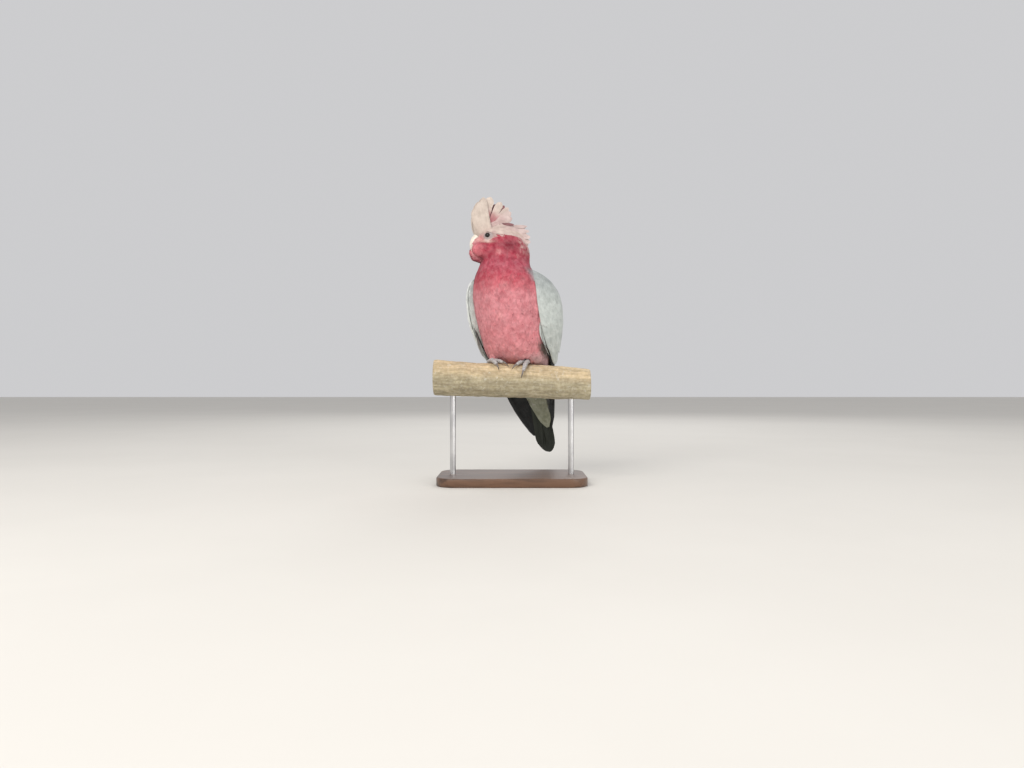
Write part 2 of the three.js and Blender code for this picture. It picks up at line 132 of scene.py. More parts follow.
def smoothTable(rows):
    # a smooth curve through a table of stations, at 0 for its first row and 1 for its last
    rows = np.array(rows, float)
    slopes = np.gradient(rows, axis=0)

    def at(t):
        place = np.clip(np.asarray(t, float), 0, 1) * (len(rows) - 1)
        low = np.minimum(place.astype(int), len(rows) - 2)
        p = (place - low)[..., None]
        return ((2 * p**3 - 3 * p**2 + 1) * rows[low] + (p**3 - 2 * p**2 + p) * slopes[low]
                + (3 * p**2 - 2 * p**3) * rows[low + 1] + (p**3 - p**2) * slopes[low + 1])

    return at


def tint(code):
    # a colour written as on a paint card, in linear light
    value = np.array([int(code[i:i + 2], 16) for i in (0, 2, 4)], float) / 255
    return np.where(value <= 0.04045, value / 12.92, ((value + 0.055) / 1.055) ** 2.4)


def tints(**codes):
    return {name: tint(code) for name, code in codes.items()}


def blended(first, second, share):
    share = np.asarray(share)[..., None]
    return first * (1 - share) + second * share


def cloudy(places, size, seed=0.0):
    # soft noise about 0 at each place, in patches of that many millimetres
    flat = places.reshape(-1, 3) / size + seed
    made = np.array([noise.noise(Vector(p)) for p in flat.tolist()])
    return made.reshape(places.shape[:-1])


# The branch: its axis, its radius at each place round it, and places on it.
perchValues = {"top": 165.0, "halfLength": 108.0, "radius": 23.6, "taper": 0.016, "slope": -0.044,
               "knots": [(-66, 1.2, 2.6, 9), (64, 2.3, 3.0, 10)], "rows": 250, "columns": 128,
               "endRings": (0.96, 0.85, 0.7, 0.5, 0.28)}


def perchAxis(x):
    y = 1.4 * np.sin(x / 41 + 0.6)
    z = perchValues["top"] - perchValues["radius"] + perchValues["slope"] * x + 0.9 * np.sin(x / 29)
    return y, z


def perchRadius(x, turn):
    radius = perchValues["radius"] - perchValues["taper"] * x
    radius = radius + 0.5 * np.sin(2 * turn + x / 33) + 0.35 * np.sin(3 * turn - x / 21)
    for place, facing, high, wide in perchValues["knots"]:
        bump = high * np.exp(-(((x - place) / wide) ** 2))
        radius = radius + bump * np.clip(np.cos(turn - facing), 0, 1) ** 3
    return radius


def onPerch(x, turn, out):
    y, z = perchAxis(x)
    reach = perchRadius(x, turn) + out
    return together(x, y - reach * np.sin(turn), z + reach * np.cos(turn))


def makePiece(name, points, faces, material, uvs=None, plumage=None, smooth=True, bird=True):
    # faces is a list of arrays, one for each number of corners
    mesh = bpy.data.meshes.new(name)
    places = (inPart(points) if bird else np.asarray(points, float)) * 0.001
    corners = np.concatenate([f.reshape(-1) for f in faces])
    sizes = np.concatenate([np.full(len(f), f.shape[1]) for f in faces])
    starts = np.concatenate([[0], np.cumsum(sizes)[:-1]])
    mesh.vertices.add(len(places))
    mesh.vertices.foreach_set("co", places.astype(np.float32).ravel())
    mesh.loops.add(len(corners))
    mesh.loops.foreach_set("vertex_index", corners.astype(np.int32))
    mesh.polygons.add(len(sizes))
    mesh.polygons.foreach_set("loop_start", starts.astype(np.int32))
    mesh.polygons.foreach_set("use_smooth", np.array(np.broadcast_to(smooth, len(sizes))))
    mesh.update(calc_edges=True)
    for label, uv in (uvs or {}).items():
        layer = mesh.uv_layers.new(name=label)
        layer.data.foreach_set("uv", uv[corners].astype(np.float32).ravel())
    if plumage is not None:
        layer = mesh.color_attributes.new("plumage", "FLOAT_COLOR", "POINT")
        rgba = np.concatenate([np.clip(plumage, 0, 1), np.ones((len(plumage), 1))], 1)
        layer.data.foreach_set("color", rgba.astype(np.float32).ravel())
    mesh.validate()
    piece = bpy.data.objects.new(name, mesh)
    bpy.context.scene.collection.objects.link(piece)
    mesh.materials.append(material)
    return piece


def keep(piece, slot, *nodes):
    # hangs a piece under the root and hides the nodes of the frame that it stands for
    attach(piece, "root")
    if nodes:
        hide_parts(*nodes)


def voxelSkin(points, faces, size, rounds):
    # one closed skin round those solids, smoothed so many times: its points, quads and edges
    mesh = bpy.data.meshes.new("solids")
    mesh.from_pydata(points.tolist(), [], faces)
    lump = bpy.data.objects.new("solids", mesh)
    bpy.context.scene.collection.objects.link(lump)
    remesh = lump.modifiers.new("voxels", "REMESH")
    remesh.mode, remesh.voxel_size = "VOXEL", size
    made = lump.evaluated_get(bpy.context.evaluated_depsgraph_get()).to_mesh()
    skin = np.empty(len(made.vertices) * 3)
    made.vertices.foreach_get("co", skin)
    quads = np.array([tuple(f.vertices) for f in made.polygons])
    edges = np.empty(len(made.edges) * 2, int)
    made.edges.foreach_get("vertices", edges)
    edges = edges.reshape(-1, 2)
    bpy.data.objects.remove(lump)
    bpy.data.meshes.remove(mesh)
    return smoothed(skin.reshape(-1, 3), edges, rounds), quads, edges


def gridFaces(rows, columns):
    # quads over rings of points
    ring = [(j, (j + 1) % columns) for j in range(columns)]
    return np.array([(i + j, i + k, i + columns + k, i + columns + j)
                     for i in range(0, (rows - 1) * columns, columns) for j, k in ring])


def vaneFaces(rows, columns):
    # one closed vane: a top sheet of rows x columns cells, and a keeled underside
    def top(i, j):
        return i * (columns + 1) + j

    def keel(i):
        return (rows + 1) * (columns + 1) + i - 1

    quads = [(top(i, j), top(i, j + 1), top(i + 1, j + 1), top(i + 1, j))
             for i in range(rows) for j in range(columns)]
    for i in range(1, rows - 1):
        quads.append((top(i, 0), top(i + 1, 0), keel(i + 1), keel(i)))
        quads.append((keel(i), keel(i + 1), top(i + 1, columns), top(i, columns)))
    last = rows - 1
    tris = [(top(0, 0), top(1, 0), keel(1)), (keel(1), top(1, columns), top(0, columns)),
            (top(last, 0), top(rows, 0), keel(last)), (keel(last), top(rows, columns), top(last, columns))]
    for j in range(columns):
        tris.append((top(0, j + 1), top(0, j), keel(1)))
        tris.append((top(rows, j), top(rows, j + 1), keel(last)))
    return np.array(quads), np.array(tris)


patchReach = 0.0015  # half of each feather's patch on the unwrap


def vanePiece(name, grid, up, thickness, plumage, vane, patch, material, slot):
    # grid is feathers x rows x columns x 3; up is each rachis point's normal; thickness is at the
    # rachis; patch is each root's place on its unwrap
    count, rows, columns = grid.shape[0], grid.shape[1] - 1, grid.shape[2] - 1
    middle = columns // 2

    def withKeel(values, keel):
        return np.concatenate([values.reshape(count, -1, values.shape[-1]), keel], 1)

    keel = grid[:, 1:-1, middle] - up[:, 1:-1] * np.asarray(thickness).reshape(-1, 1, 1)
    points = withKeel(grid, keel)
    # each vane's underside is a fifth darker than its top: painted shade under the vane
    shades = withKeel(plumage, plumage[:, 1:-1, middle] * 0.8)
    fine = withKeel(vane, vane[:, 1:-1, middle])
    spot = together(np.linspace(-patchReach, patchReach, columns + 1)[None],
                    np.linspace(-patchReach, patchReach, rows + 1)[:, None])
    spot = np.concatenate([spot.reshape(-1, 2), spot[1:-1, middle]])
    baked = patch[:, None, :] + spot[None]
    each = points.shape[1]
    quads, tris = vaneFaces(rows, columns)
    offsets = (np.arange(count) * each)[:, None, None]
    faces = [(quads[None] + offsets).reshape(-1, 4), (tris[None] + offsets).reshape(-1, 3)]
    uvs = {"OFBake": baked.reshape(-1, 2), "vane": fine.reshape(-1, 2) / 100}
    # flat undersides and sharp rims keep their slope out of the upper faces' shading
    smooth = np.concatenate([np.tile(np.arange(len(quads)) < rows * columns, count),
                             np.zeros(count * len(tris), bool)])
    piece = makePiece(name, points.reshape(-1, 3), faces, material, uvs, shades.reshape(-1, 3), smooth)
    rim = np.ones((rows + 1, columns + 1), bool)
    rim[1:-1, 1:-1] = False
    rim = np.concatenate([rim.reshape(-1), np.zeros(rows - 1, bool)])
    ends = np.empty(2 * len(piece.data.edges), np.int32)
    piece.data.edges.foreach_get("vertices", ends)
    piece.data.edges.foreach_set("use_edge_sharp", np.array(rim[ends.reshape(-1, 2) % each].all(1)))
    piece.data.uv_layers["OFBake"].active = True
    keep(piece, slot)
    print(f"{name}: {count} feathers, {count * (2 * len(quads) + len(tris))} triangles")


class Sketch:
    # adds nodes to one tree and joins them up
    def __init__(self, tree):
        self.tree = tree
        self.count = 0

    def feed(self, socket, value):
        if isinstance(value, bpy.types.NodeSocket):
            self.tree.links.new(value, socket)
        elif value is not None:
            socket.default_value = value

    def node(self, kind, inputs=None, **settings):
        made = self.tree.nodes.new("ShaderNode" + kind)
        self.count += 1
        made.location = (-700 + 190 * (self.count % 8), 300 - 220 * (self.count // 8))
        for label, value in settings.items():
            setattr(made, label, value)
        for key, value in (inputs or {}).items():
            self.feed(made.inputs[key], value)
        return made

    def math(self, operation, first, second=None, third=None):
        return self.node("Math", {0: first, 1: second, 2: third}, operation=operation).outputs[0]

    def mix(self, share, first, second):
        return self.node("Mix", {0: share, 6: first, 7: second}, data_type="RGBA").outputs[2]

    def spread(self, value, low, high, toLow=0.0, toHigh=1.0):
        return self.node("MapRange", {0: value, 1: low, 2: high, 3: toLow, 4: toHigh},
                         interpolation_type="SMOOTHSTEP").outputs[0]

    def cloud(self, vector, scale, detail=3.0, roughness=0.55):
        return self.node("TexNoise", {"Vector": vector, "Scale": scale, "Detail": detail,
                                      "Roughness": roughness}).outputs["Fac"]

    def stretch(self, vector, scale):
        return self.node("Mapping", {"Vector": vector, "Scale": scale}).outputs[0]

    def group(self, group, **inputs):
        return self.node("Group", inputs, node_tree=group).outputs

    def plumage(self):
        return self.node("VertexColor", layer_name="plumage").outputs["Color"]

    def unwrap(self, name):
        return self.node("UVMap", uv_map=name).outputs["UV"]

    def place(self):
        return self.node("TexCoord").outputs["Object"]


def startGroup(name, inputs, outputs):
    # an input's value tells its kind: four numbers for a colour, None for a place
    group = bpy.data.node_groups.new(name, "ShaderNodeTree")
    for label, value in inputs.items():
        kind = "Vector" if value is None else "Color" if isinstance(value, tuple) else "Float"
        socket = group.interface.new_socket(name=label, in_out="INPUT", socket_type="NodeSocket" + kind)
        if value is not None:
            socket.default_value = value
    for label in outputs:
        kind = "Color" if label == "Colour" else "Float"
        group.interface.new_socket(name=label, in_out="OUTPUT", socket_type="NodeSocket" + kind)
    start, end = group.nodes.new("NodeGroupInput"), group.nodes.new("NodeGroupOutput")
    start.location, end.location = (-900, 0), (900, 0)
    return group, Sketch(group), start.outputs, end.inputs


def makeBarbs():
    # barbs sweep from the rachis out towards the tip; Vane is a place on the feather in mm / 100
    group, pen, given, wanted = startGroup(
        "barbs", {"Plumage": (0.5, 0.5, 0.5, 1), "Vane": None, "Spacing": 0.6, "Depth": 0.2, "Shaft": 0.2},
        ["Colour", "Height"])
    split = pen.node("SeparateXYZ", {0: given["Vane"]}).outputs
    across = pen.math("MULTIPLY", pen.math("ABSOLUTE", split[0]), 100.0)
    along = pen.math("MULTIPLY", split[1], 100.0)
    sweep = pen.math("SUBTRACT", along, pen.math("MULTIPLY", across, 1.25))
    ruffle = pen.cloud(given["Vane"], 60.0, 2.0)
    turns = pen.math("DIVIDE", pen.math("ADD", sweep, ruffle), given["Spacing"])
    wave = pen.math("SINE", pen.math("MULTIPLY", turns, 2 * math.pi))
    ridge = pen.math("MULTIPLY_ADD", wave, 0.5, 0.5)
    shaft = pen.spread(across, 0.12, 0.42, 1.0, 0.0)
    shade = pen.math("MULTIPLY", pen.math("SUBTRACT", 1.0, ridge), given["Depth"])
    darker = pen.mix(0.7, given["Plumage"], (0.0, 0.0, 0.0, 1))
    barbed = pen.mix(shade, given["Plumage"], darker)
    shafted = pen.mix(pen.math("MULTIPLY", shaft, given["Shaft"]), barbed, darker)
    pen.feed(wanted["Colour"], shafted)
    pen.feed(wanted["Height"], pen.math("MULTIPLY_ADD", shaft, 0.6, ridge))
    return group


def makeMottle():
    # patches a little lighter and darker than the colour given
    group, pen, given, wanted = startGroup(
        "mottle", {"Colour": (0.5, 0.5, 0.5, 1), "Place": None, "Scale": 100.0, "Amount": 0.2},
        ["Colour", "Mask"])
    patch = pen.spread(pen.cloud(given["Place"], given["Scale"], 4.0, 0.6), 0.32, 0.68)
    darker = pen.mix(given["Amount"], given["Colour"], (0.0, 0.0, 0.0, 1))
    lighter = pen.mix(pen.math("MULTIPLY", given["Amount"], 0.5), given["Colour"], (1.0, 1.0, 1.0, 1))
    pen.feed(wanted["Colour"], pen.mix(patch, darker, lighter))
    pen.feed(wanted["Mask"], patch)
    return group


def makeScales():
    # plates parted by dark creases, as on a bird's feet and round its eyes
    group, pen, given, wanted = startGroup(
        "scales", {"Colour": (0.5, 0.5, 0.5, 1), "Place": None, "Scale": 900.0, "Crease": 0.4},
        ["Colour", "Height"])
    cells = pen.node("TexVoronoi", {"Vector": given["Place"], "Scale": given["Scale"]},
                     feature="DISTANCE_TO_EDGE").outputs["Distance"]
    plate = pen.spread(cells, 0.0, 0.22)
    fine = pen.cloud(given["Place"], 2600.0, 2.0)
    darker = pen.mix(given["Crease"], given["Colour"], (0.02, 0.015, 0.015, 1))
    pen.feed(wanted["Colour"], pen.mix(plate, darker, given["Colour"]))
    pen.feed(wanted["Height"], pen.math("MULTIPLY_ADD", fine, 0.25, plate))
    return group


def makeGrain():
    # long fibres along the wood, with pale and dark streaks
    group, pen, given, wanted = startGroup(
        "grain", {"Light": (0.6, 0.5, 0.4, 1), "Dark": (0.2, 0.15, 0.1, 1), "Place": None, "Fibres": 300.0,
                  "Contrast": 0.6}, ["Colour", "Height", "Crack"])
    fibres = given["Fibres"]
    wobble = pen.node("TexNoise", {"Vector": given["Place"], "Scale": 22.0, "Detail": 2.0}).outputs["Color"]
    bent = pen.node("VectorMath", {0: wobble, 1: (0.006, 0.006, 0.006)}, operation="MULTIPLY").outputs[0]
    moved = pen.node("VectorMath", {0: given["Place"], 1: bent}, operation="ADD").outputs[0]
    long = pen.stretch(moved, (0.07, 1.0, 1.0))
    fibre = pen.cloud(long, fibres, 5.0, 0.7)
    broad = pen.cloud(long, pen.math("MULTIPLY", fibres, 0.25), 3.0, 0.5)
    both = pen.math("MULTIPLY_ADD", broad, 0.6, pen.math("MULTIPLY", fibre, 0.4))
    streak = pen.spread(both, 0.36, 0.62)
    share = pen.math("MULTIPLY", pen.math("SUBTRACT", 1.0, streak), given["Contrast"])
    crack = pen.spread(pen.cloud(long, pen.math("MULTIPLY", fibres, 0.5), 2.0), 0.62, 0.7)
    shade = pen.mix(share, given["Light"], given["Dark"])
    pen.feed(wanted["Colour"], pen.mix(pen.math("MULTIPLY", crack, 0.35), shade, given["Dark"]))
    pen.feed(wanted["Height"], pen.math("SUBTRACT", fibre, pen.math("MULTIPLY", crack, 0.8)))
    pen.feed(wanted["Crack"], crack)
    return group


barbs, mottle, scales, grain = makeBarbs(), makeMottle(), makeScales(), makeGrain()


class Finish(Sketch):
    # a new material; the surface's own constants are given by name
    def __init__(self, name, **constants):
        self.material = bpy.data.materials.new(name)
        self.material.use_nodes = True
        super().__init__(self.material.node_tree)
        self.surface = self.tree.nodes["Principled BSDF"].inputs
        for label, value in constants.items():
            self.surface[label.replace("_", " ")].default_value = value

    def done(self, colour, height, strength, distance, value, low, high, rough, rougher):
        # its colour, the height of its bumps, and its roughness as value runs from low to high
        bump = self.node("Bump", {"Strength": strength, "Distance": distance, "Height": height})
        self.feed(self.surface["Base Color"], colour)
        self.feed(self.surface["Normal"], bump.outputs["Normal"])
        self.feed(self.surface["Roughness"], self.spread(value, low, high, rough, rougher))
        return self.material


def featherMaterial(name, spacing, depth, shaft, patches, bumpy, roughness, sheen, uneven=0.14):
    pen = Finish(name, Sheen_Weight=sheen, Sheen_Roughness=0.5, Specular_IOR_Level=0.25)
    marked = pen.group(mottle, Colour=pen.plumage(), Place=pen.place(), Scale=patches, Amount=uneven)
    drawn = pen.group(barbs, Plumage=marked["Colour"], Vane=pen.unwrap("vane"), Spacing=spacing, Depth=depth,
                      Shaft=shaft)
    return pen.done(drawn["Colour"], drawn["Height"], bumpy, 0.0002, marked["Mask"], 0.0, 1.0, roughness,
                    roughness + 0.12)


downMaterial = featherMaterial("contour_feathers", spacing=0.5, depth=0.16, shaft=0.0, patches=140.0,
                               bumpy=0.25, roughness=0.75, sheen=0.06)
covertMaterial = featherMaterial("covert_feathers", spacing=0.6, depth=0.12, shaft=0.15, patches=120.0,
                                 bumpy=0.2, roughness=0.62, sheen=0.06)
flightMaterial = featherMaterial("flight_feathers", spacing=0.7, depth=0.25, shaft=0.5, patches=90.0,
                                 bumpy=0.35, roughness=0.46, sheen=0.05, uneven=0.03)
crestMaterial = featherMaterial("crest_feathers", spacing=0.55, depth=0.07, shaft=0.1, patches=110.0,
                                bumpy=0.15, roughness=0.7, sheen=0.06)

# The plumage: its colours, and where each one lies on the bird.
# the tail's colours and the primaries' are darker than those feathers' own grey: they carry painted shade
# from the branch above them
plumes = tints(
    fleck="e8aba9", throat="a73d50", breastTop="b44150", breastMid="cc7c83", breastLow="ce7b81",
    belly="c77c7f", face="a32c41", crimson="810f29", cheekFront="d6767e", lores="cc8986", cap="c2a7a1",
    capWhite="c5b0ab", forehead="d0b8aa", crestWhite="c2b3a7", crestPink="9c4854", crestBase="d9a7a5",
    mantle="8f9294", rump="b9bcbb", vent="b8b7ab", wingPale="bdc4c0", wingShoulder="979e9d",
    wingEdge="dde0dc", primary="0b0c0c", primaryCovert="5b5f61", secondary="aab0af", tail="273123",
    tailEdge="40443c", undertail="8e917c")
hoodSteps = {-20: "belly", 12: "belly", 34: "breastLow", 66: "breastMid", 92: "breastMid",
             112: "breastTop", 132: "throat", 146: "face", 200: "face"}  # by height
axisRows = np.array([(-48, 74), (-34, 66), (-20, 58), (-8, 48), (0, 40), (7, 33), (18, 27), (36, 19),
                     (57, 11), (80, 3), (100, -2), (115, -6), (133, -12), (192, -14.6)], float)


def bodyTurn(place):
    # degrees round the body from the middle of the breast
    middle = np.interp(place[..., 2], axisRows[:, 0], axisRows[:, 1])
    return np.degrees(np.arctan2(place[..., 0], middle - place[..., 1]))


def capLine(forward):
    # the height at which the rose of the face gives way to the pale cap
    return np.interp(forward, [-58, -52, -43, -12, -7, 0, 8, 16, 30],
                     [-16, -12, -1.5, -1, -4, -9, -9, -8, -8])


# lighter and deeper marks of the hood and breast: x, y, z, how wide, and how strong
flecks = [
    (9, -41, 150, 3.2, 0.55), (28, -22, 145, 2.5, 0.45), (10, -38, 65, 3.6, 0.45), (-26, -44, 150, 3.6, 0.3),
    (14, -44, 89, 7.0, -0.4), (18, -41, 137, 4.0, -0.35), (21, -43, 104, 4.0, 0.2), (36, -24, 96, 8.0, -0.15),
    (-15, -45, 100, 13.0, -0.22), (-24, -38, 118, 9.0, -0.2)]


def markings(place):
    height, reach, turn = place[..., 2], np.abs(place[..., 0]), np.abs(bodyTurn(place))
    forward, left, up = fromHead(place)
    soft, fine = cloudy(place, 9.0), cloudy(place, 3.2, 7.0)
    shade = np.empty(place.shape)
    for k in range(3):
        levels = [plumes[name][k] for name in hoodSteps.values()]
        shade[..., k] = np.interp(height + 5 * soft, list(hoodSteps), levels)
    # back: grey mantle below the hood, paler rump
    back = ease(122, 142, turn + 8 * soft) * ease(124, 112, height + 3 * fine)
    grey = blended(plumes["mantle"], plumes["rump"], ease(78, 30, height + 4 * soft))
    hem = ease(108, 116, height) * ease(122, 142, turn)
    shoulder = ease(30, 36, reach) * ease(131, 124, height) * ease(108, 113, height)
    # vent, beside the legs and under the tail, and painted shadow in the gap between the low flank and the
    # wing
    fluffy = ease(26, 36, reach) * ease(20, 6, height) * ease(-8, 8, place[..., 1]) * ease(-20, -6, height)
    flankShadow = ease(41, 45, reach + 0.1 * height) * ease(2, 16, place[..., 1])
    flankShadow = flankShadow * ease(44, 26, height + 3 * fine)
    # face, from the throat up
    onFace = ease(140, 152, height)
    front = ease(2, 16, forward) * ease(-6, -14, up)
    deep = np.exp(-((forward + 27) / 11) ** 2 - ((up + 13) / 9) ** 2)
    above = up - capLine(forward) - 1.6 * soft - 1.2 * fine
    capped = ease(-1.6, 1.6, above) * ease(146, 156, height)
    pale = blended(plumes["cap"], plumes["lores"], ease(2, 8, forward) * ease(4, -3, up))
    pale = blended(pale, plumes["forehead"], ease(2, 10, up) * ease(-6, 4, forward))
    hoary = ease(-35, -45, forward) * ease(-30, -14, up) * onFace * np.clip(0.3 + 0.9 * fine, 0, 0.75)
    crescent = np.exp(-((forward - 0.5) / 8) ** 2 - ((up + 8.6) / 1.7) ** 2)
    layers = [(blended(grey, plumes["wingEdge"], 0.45 * hem), back),
              (plumes["mantle"], 0.85 * shoulder * ease(70, 95, turn)),
              (plumes["vent"], ease(-6, -30, height + 4 * soft)),
              (plumes["mantle"] * 1.3, 0.45 * fluffy), (plumes["tail"], 0.9 * flankShadow),
              (plumes["cheekFront"], 0.75 * onFace * front),
              (plumes["crimson"], np.clip(onFace * deep * 1.2, 0, 1)),
              (pale, capped), (plumes["cap"], hoary),
              (plumes["forehead"], 0.6 * crescent * ease(6, 10, np.abs(left)))]
    for x, y, z, size, amount in flecks:
        near = np.exp(-((place - np.array([x, y, z])) ** 2).sum(-1) / size**2) * abs(amount)
        layers.append((plumes["fleck"] if amount > 0 else plumes["crimson"], near))
    for colour, share in layers:
        shade = blended(shade, colour, share)
    streaks = cloudy(place * np.array([1, 1, 0.45]), 4.6, 21.0)
    return shade * (1 + 0.11 * soft + 0.10 * fine + 0.15 * streaks)[..., None]


skinValues = {"voxel": 1.35, "swell": 0.4, "smoothing": 14,
              "cutBelow": {"wing_left": 18.0, "wing_right": 18.0, "tail": -34.0, "undertail": -62.0}}
fleshNodes = ["head", "neck", "trunk", "crest", "wing_left", "wing_right", "tail", "undertail",
              "leg_left", "leg_right"]
crestPart, tailPart = fleshNodes.index("crest"), fleshNodes.index("tail")
wingParts = [fleshNodes.index("wing_left"), fleshNodes.index("wing_right")]


def nodeArrays(name):
    # a node's corners, each only once, and its triangles
    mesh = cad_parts[name].data
    points = np.empty(len(mesh.vertices) * 3)
    mesh.vertices.foreach_get("co", points)
    mesh.calc_loop_triangles()
    tris = np.empty(len(mesh.loop_triangles) * 3, int)
    mesh.loop_triangles.foreach_get("vertices", tris)
    points, same = np.unique(np.round(points.reshape(-1, 3) * 1000, 3), axis=0, return_inverse=True)
    tris = same.reshape(-1)[tris].reshape(-1, 3)
    solid = (tris[:, 0] != tris[:, 1]) & (tris[:, 1] != tris[:, 2]) & (tris[:, 2] != tris[:, 0])
    return points, tris[solid]


def cutBelow(points, tris, level):
    # the part above that height, closed again
    shape = bmesh.new()
    corners = [shape.verts.new(p) for p in points.tolist()]
    for a, b, c in tris.tolist():
        shape.faces.new((corners[a], corners[b], corners[c]))
    everything = shape.verts[:] + shape.edges[:] + shape.faces[:]
    made = bmesh.ops.bisect_plane(shape, geom=everything, plane_co=(0, 0, level), plane_no=(0, 0, -1),
                                  clear_outer=True)
    rim = [e for e in made["geom_cut"] if isinstance(e, bmesh.types.BMEdge)]
    bmesh.ops.edgeloop_fill(shape, edges=rim)
    bmesh.ops.triangulate(shape, faces=shape.faces[:])
    shape.verts.index_update()
    points = np.array([v.co for v in shape.verts])
    tris = np.array([[v.index for v in f.verts] for f in shape.faces])
    shape.free()
    return points, tris


def vertexNormals(points, faces):
    # for triangles or quads
    a, b, c = points[faces[:, 0]], points[faces[:, 1]], points[faces[:, 2]]
    flat = np.cross(b - a, c - a)
    if faces.shape[1] == 4:
        flat = flat + np.cross(c - a, points[faces[:, 3]] - a)
    normals = np.zeros(points.shape)
    for k in range(faces.shape[1]):
        np.add.at(normals, faces[:, k], flat)
    return unit(normals)


def smoothed(values, edges, rounds):
    # each point drawn halfway to its neighbours' middle, so many times
    count = np.bincount(edges.ravel(), minlength=len(values))[:, None]
    for _ in range(rounds):
        total = np.zeros(values.shape)
        np.add.at(total, edges[:, 0], values[edges[:, 1]])
        np.add.at(total, edges[:, 1], values[edges[:, 0]])
        values = (values + total / np.maximum(count, 1)) / 2
    return values


def coatDepth(place):
    # how far the skin lies under the feathers' tips
    forward, left, up = fromHead(place)
    height = place[..., 2]
    depth = np.interp(height, [-90, -30, 0, 40, 110, 135, 150, 200],
                      [1.5, 1.8, 2.2, 2.6, 2.6, 2.2, 1.6, 1.4])
    face = ease(-14, 4, forward) * ease(140, 152, height)
    depth = depth * (1 - face) + 1.0 * face
    nearEye = np.exp(-((forward / 8) ** 2 + (up / 8) ** 2)) * ease(140, 152, height)
    return depth * (1 - nearEye) + 0.5 * nearEye


def makeSkin():
    points, tris, part, count = [], [], [], 0
    for index, name in enumerate(fleshNodes):
        nodePoints, nodeTris = nodeArrays(name)
        nodePoints = inBird(nodePoints)
        if name in skinValues["cutBelow"]:
            nodePoints, nodeTris = cutBelow(nodePoints, nodeTris, skinValues["cutBelow"][name])
        elif name == "crest":
            forward, left, up = fromHead(nodePoints)
            inward = ease(12, 40, np.hypot(forward + 14, up - 4))[:, None]
            root = onHead(-14.0, left * 0.6, 4.0)
            nodePoints = nodePoints + (root - nodePoints) * inward * 0.55
        nodePoints = nodePoints + vertexNormals(nodePoints, nodeTris) * skinValues["swell"]
        points.append(nodePoints)
        tris.append(nodeTris + count)
        part.append(np.full(len(nodeTris), index))
        count += len(nodePoints)
    points, tris, part = np.concatenate(points), np.concatenate(tris), np.concatenate(part)
    source = BVHTree.FromPolygons(points.tolist(), tris.tolist())
    skin, quads, edges = voxelSkin(points, tris.tolist(), skinValues["voxel"], skinValues["smoothing"])
    normals = vertexNormals(skin, quads)
    shell = BVHTree.FromPolygons(skin.tolist(), quads.tolist())
    depth = coatDepth(skin) + skinValues["swell"]
    for i, (p, n) in enumerate(zip(skin.tolist(), normals.tolist())):
        inward = -Vector(n)
        hit = shell.ray_cast(Vector(p) + inward * 0.05, inward, 12.0)[3]
        if hit is not None:
            depth[i] = min(depth[i], 0.4 * hit)
    depth = smoothed(depth[:, None], edges, 6)
    skin = smoothed(skin - normals * depth, edges, 3)
    owners = [source.find_nearest(Vector(p))[2] for p in skin.tolist()]
    return skin, quads, part[np.array(owners)]


skinPoints, skinQuads, skinPart = makeSkin()
skinNormals = vertexNormals(skinPoints, skinQuads)
print("skin:", len(skinPoints), "points,", 2 * len(skinQuads), "triangles")


def downySkin():
    pen = Finish("downy_skin", Sheen_Weight=0.2, Specular_IOR_Level=0.2)
    place = pen.place()
    marked = pen.group(mottle, Colour=pen.plumage(), Place=place, Scale=420.0, Amount=0.25)
    down = pen.cloud(place, 1500.0, 3.0)
    return pen.done(marked["Colour"], down, 0.5, 0.0004, down, 0.0, 1.0, 0.75, 0.95)


def skinShades():
    # the skin, seen only in the gaps between feathers, is a little darker than they are: painted shade in
    # those gaps
    shades = markings(skinPoints) * 0.9
    shades = np.where(np.isin(skinPart, wingParts)[:, None], plumes["wingShoulder"] * 0.8, shades)
    return np.where((skinPart == tailPart)[:, None], plumes["tail"] * 0.8, shades)


keep(makePiece("skin", skinPoints, [skinQuads], downySkin(), plumage=skinShades()), "rose_feathers",
     *fleshNodes)

# The lie of the coat, and the contour feathers that follow it.
surface = BVHTree.FromPolygons(skinPoints.tolist(), skinQuads.tolist())
faceNormals = unit(skinNormals[skinQuads].sum(1))
facePart = skinPart[skinQuads[:, 0]]
billRoot = onHead(14.0, 0.0, -7.0)


def lieOf(place):
    # the way the feathers point
    height = place[..., 2]
    away = place - billRoot
    reach = np.linalg.norm(away, axis=-1)
    down = np.zeros(place.shape)
    down[..., 1] = np.interp(height, [-60, -20, 10, 40, 200], [0.5, 0.6, 0.35, 0.12, 0.1])
    down[..., 2] = -1.0
    down[..., 0] = -0.004 * place[..., 0] * ease(60, 10, height)
    share = ease(22, 62, reach)
    share = np.where(height < 138, np.maximum(share, ease(150, 132, height)), share)
    return unit(blended(unit(away), unit(down), share))


def comb(roots, lengths, stations, turnBy):
    # walks each feather's rachis over the skin; gives its points, directions and normals
    count, rows = len(roots), len(stations)
    path, up, ahead = (np.empty((count, rows, 3)) for _ in range(3))
    spots = roots.copy()
    owners = [surface.find_nearest(Vector(p))[2] for p in spots.tolist()]
    for k in range(rows):
        normals = faceNormals[owners]
        flow = lieOf(spots)
        flow = unit(flow - normals * (flow * normals).sum(-1, keepdims=True))
        side = np.cross(flow, normals)
        flow = unit(flow + side * turnBy[:, None])
        path[:, k], up[:, k], ahead[:, k] = spots, normals, flow
        if k + 1 < rows:
            step = (stations[k + 1] - stations[k]) * lengths
            moved = spots + flow * step[:, None]
            found = [surface.find_nearest(Vector(p)) for p in moved.tolist()]
            spots = np.array([f[0] for f in found])
            owners = [f[2] for f in found]
    return path, up, ahead


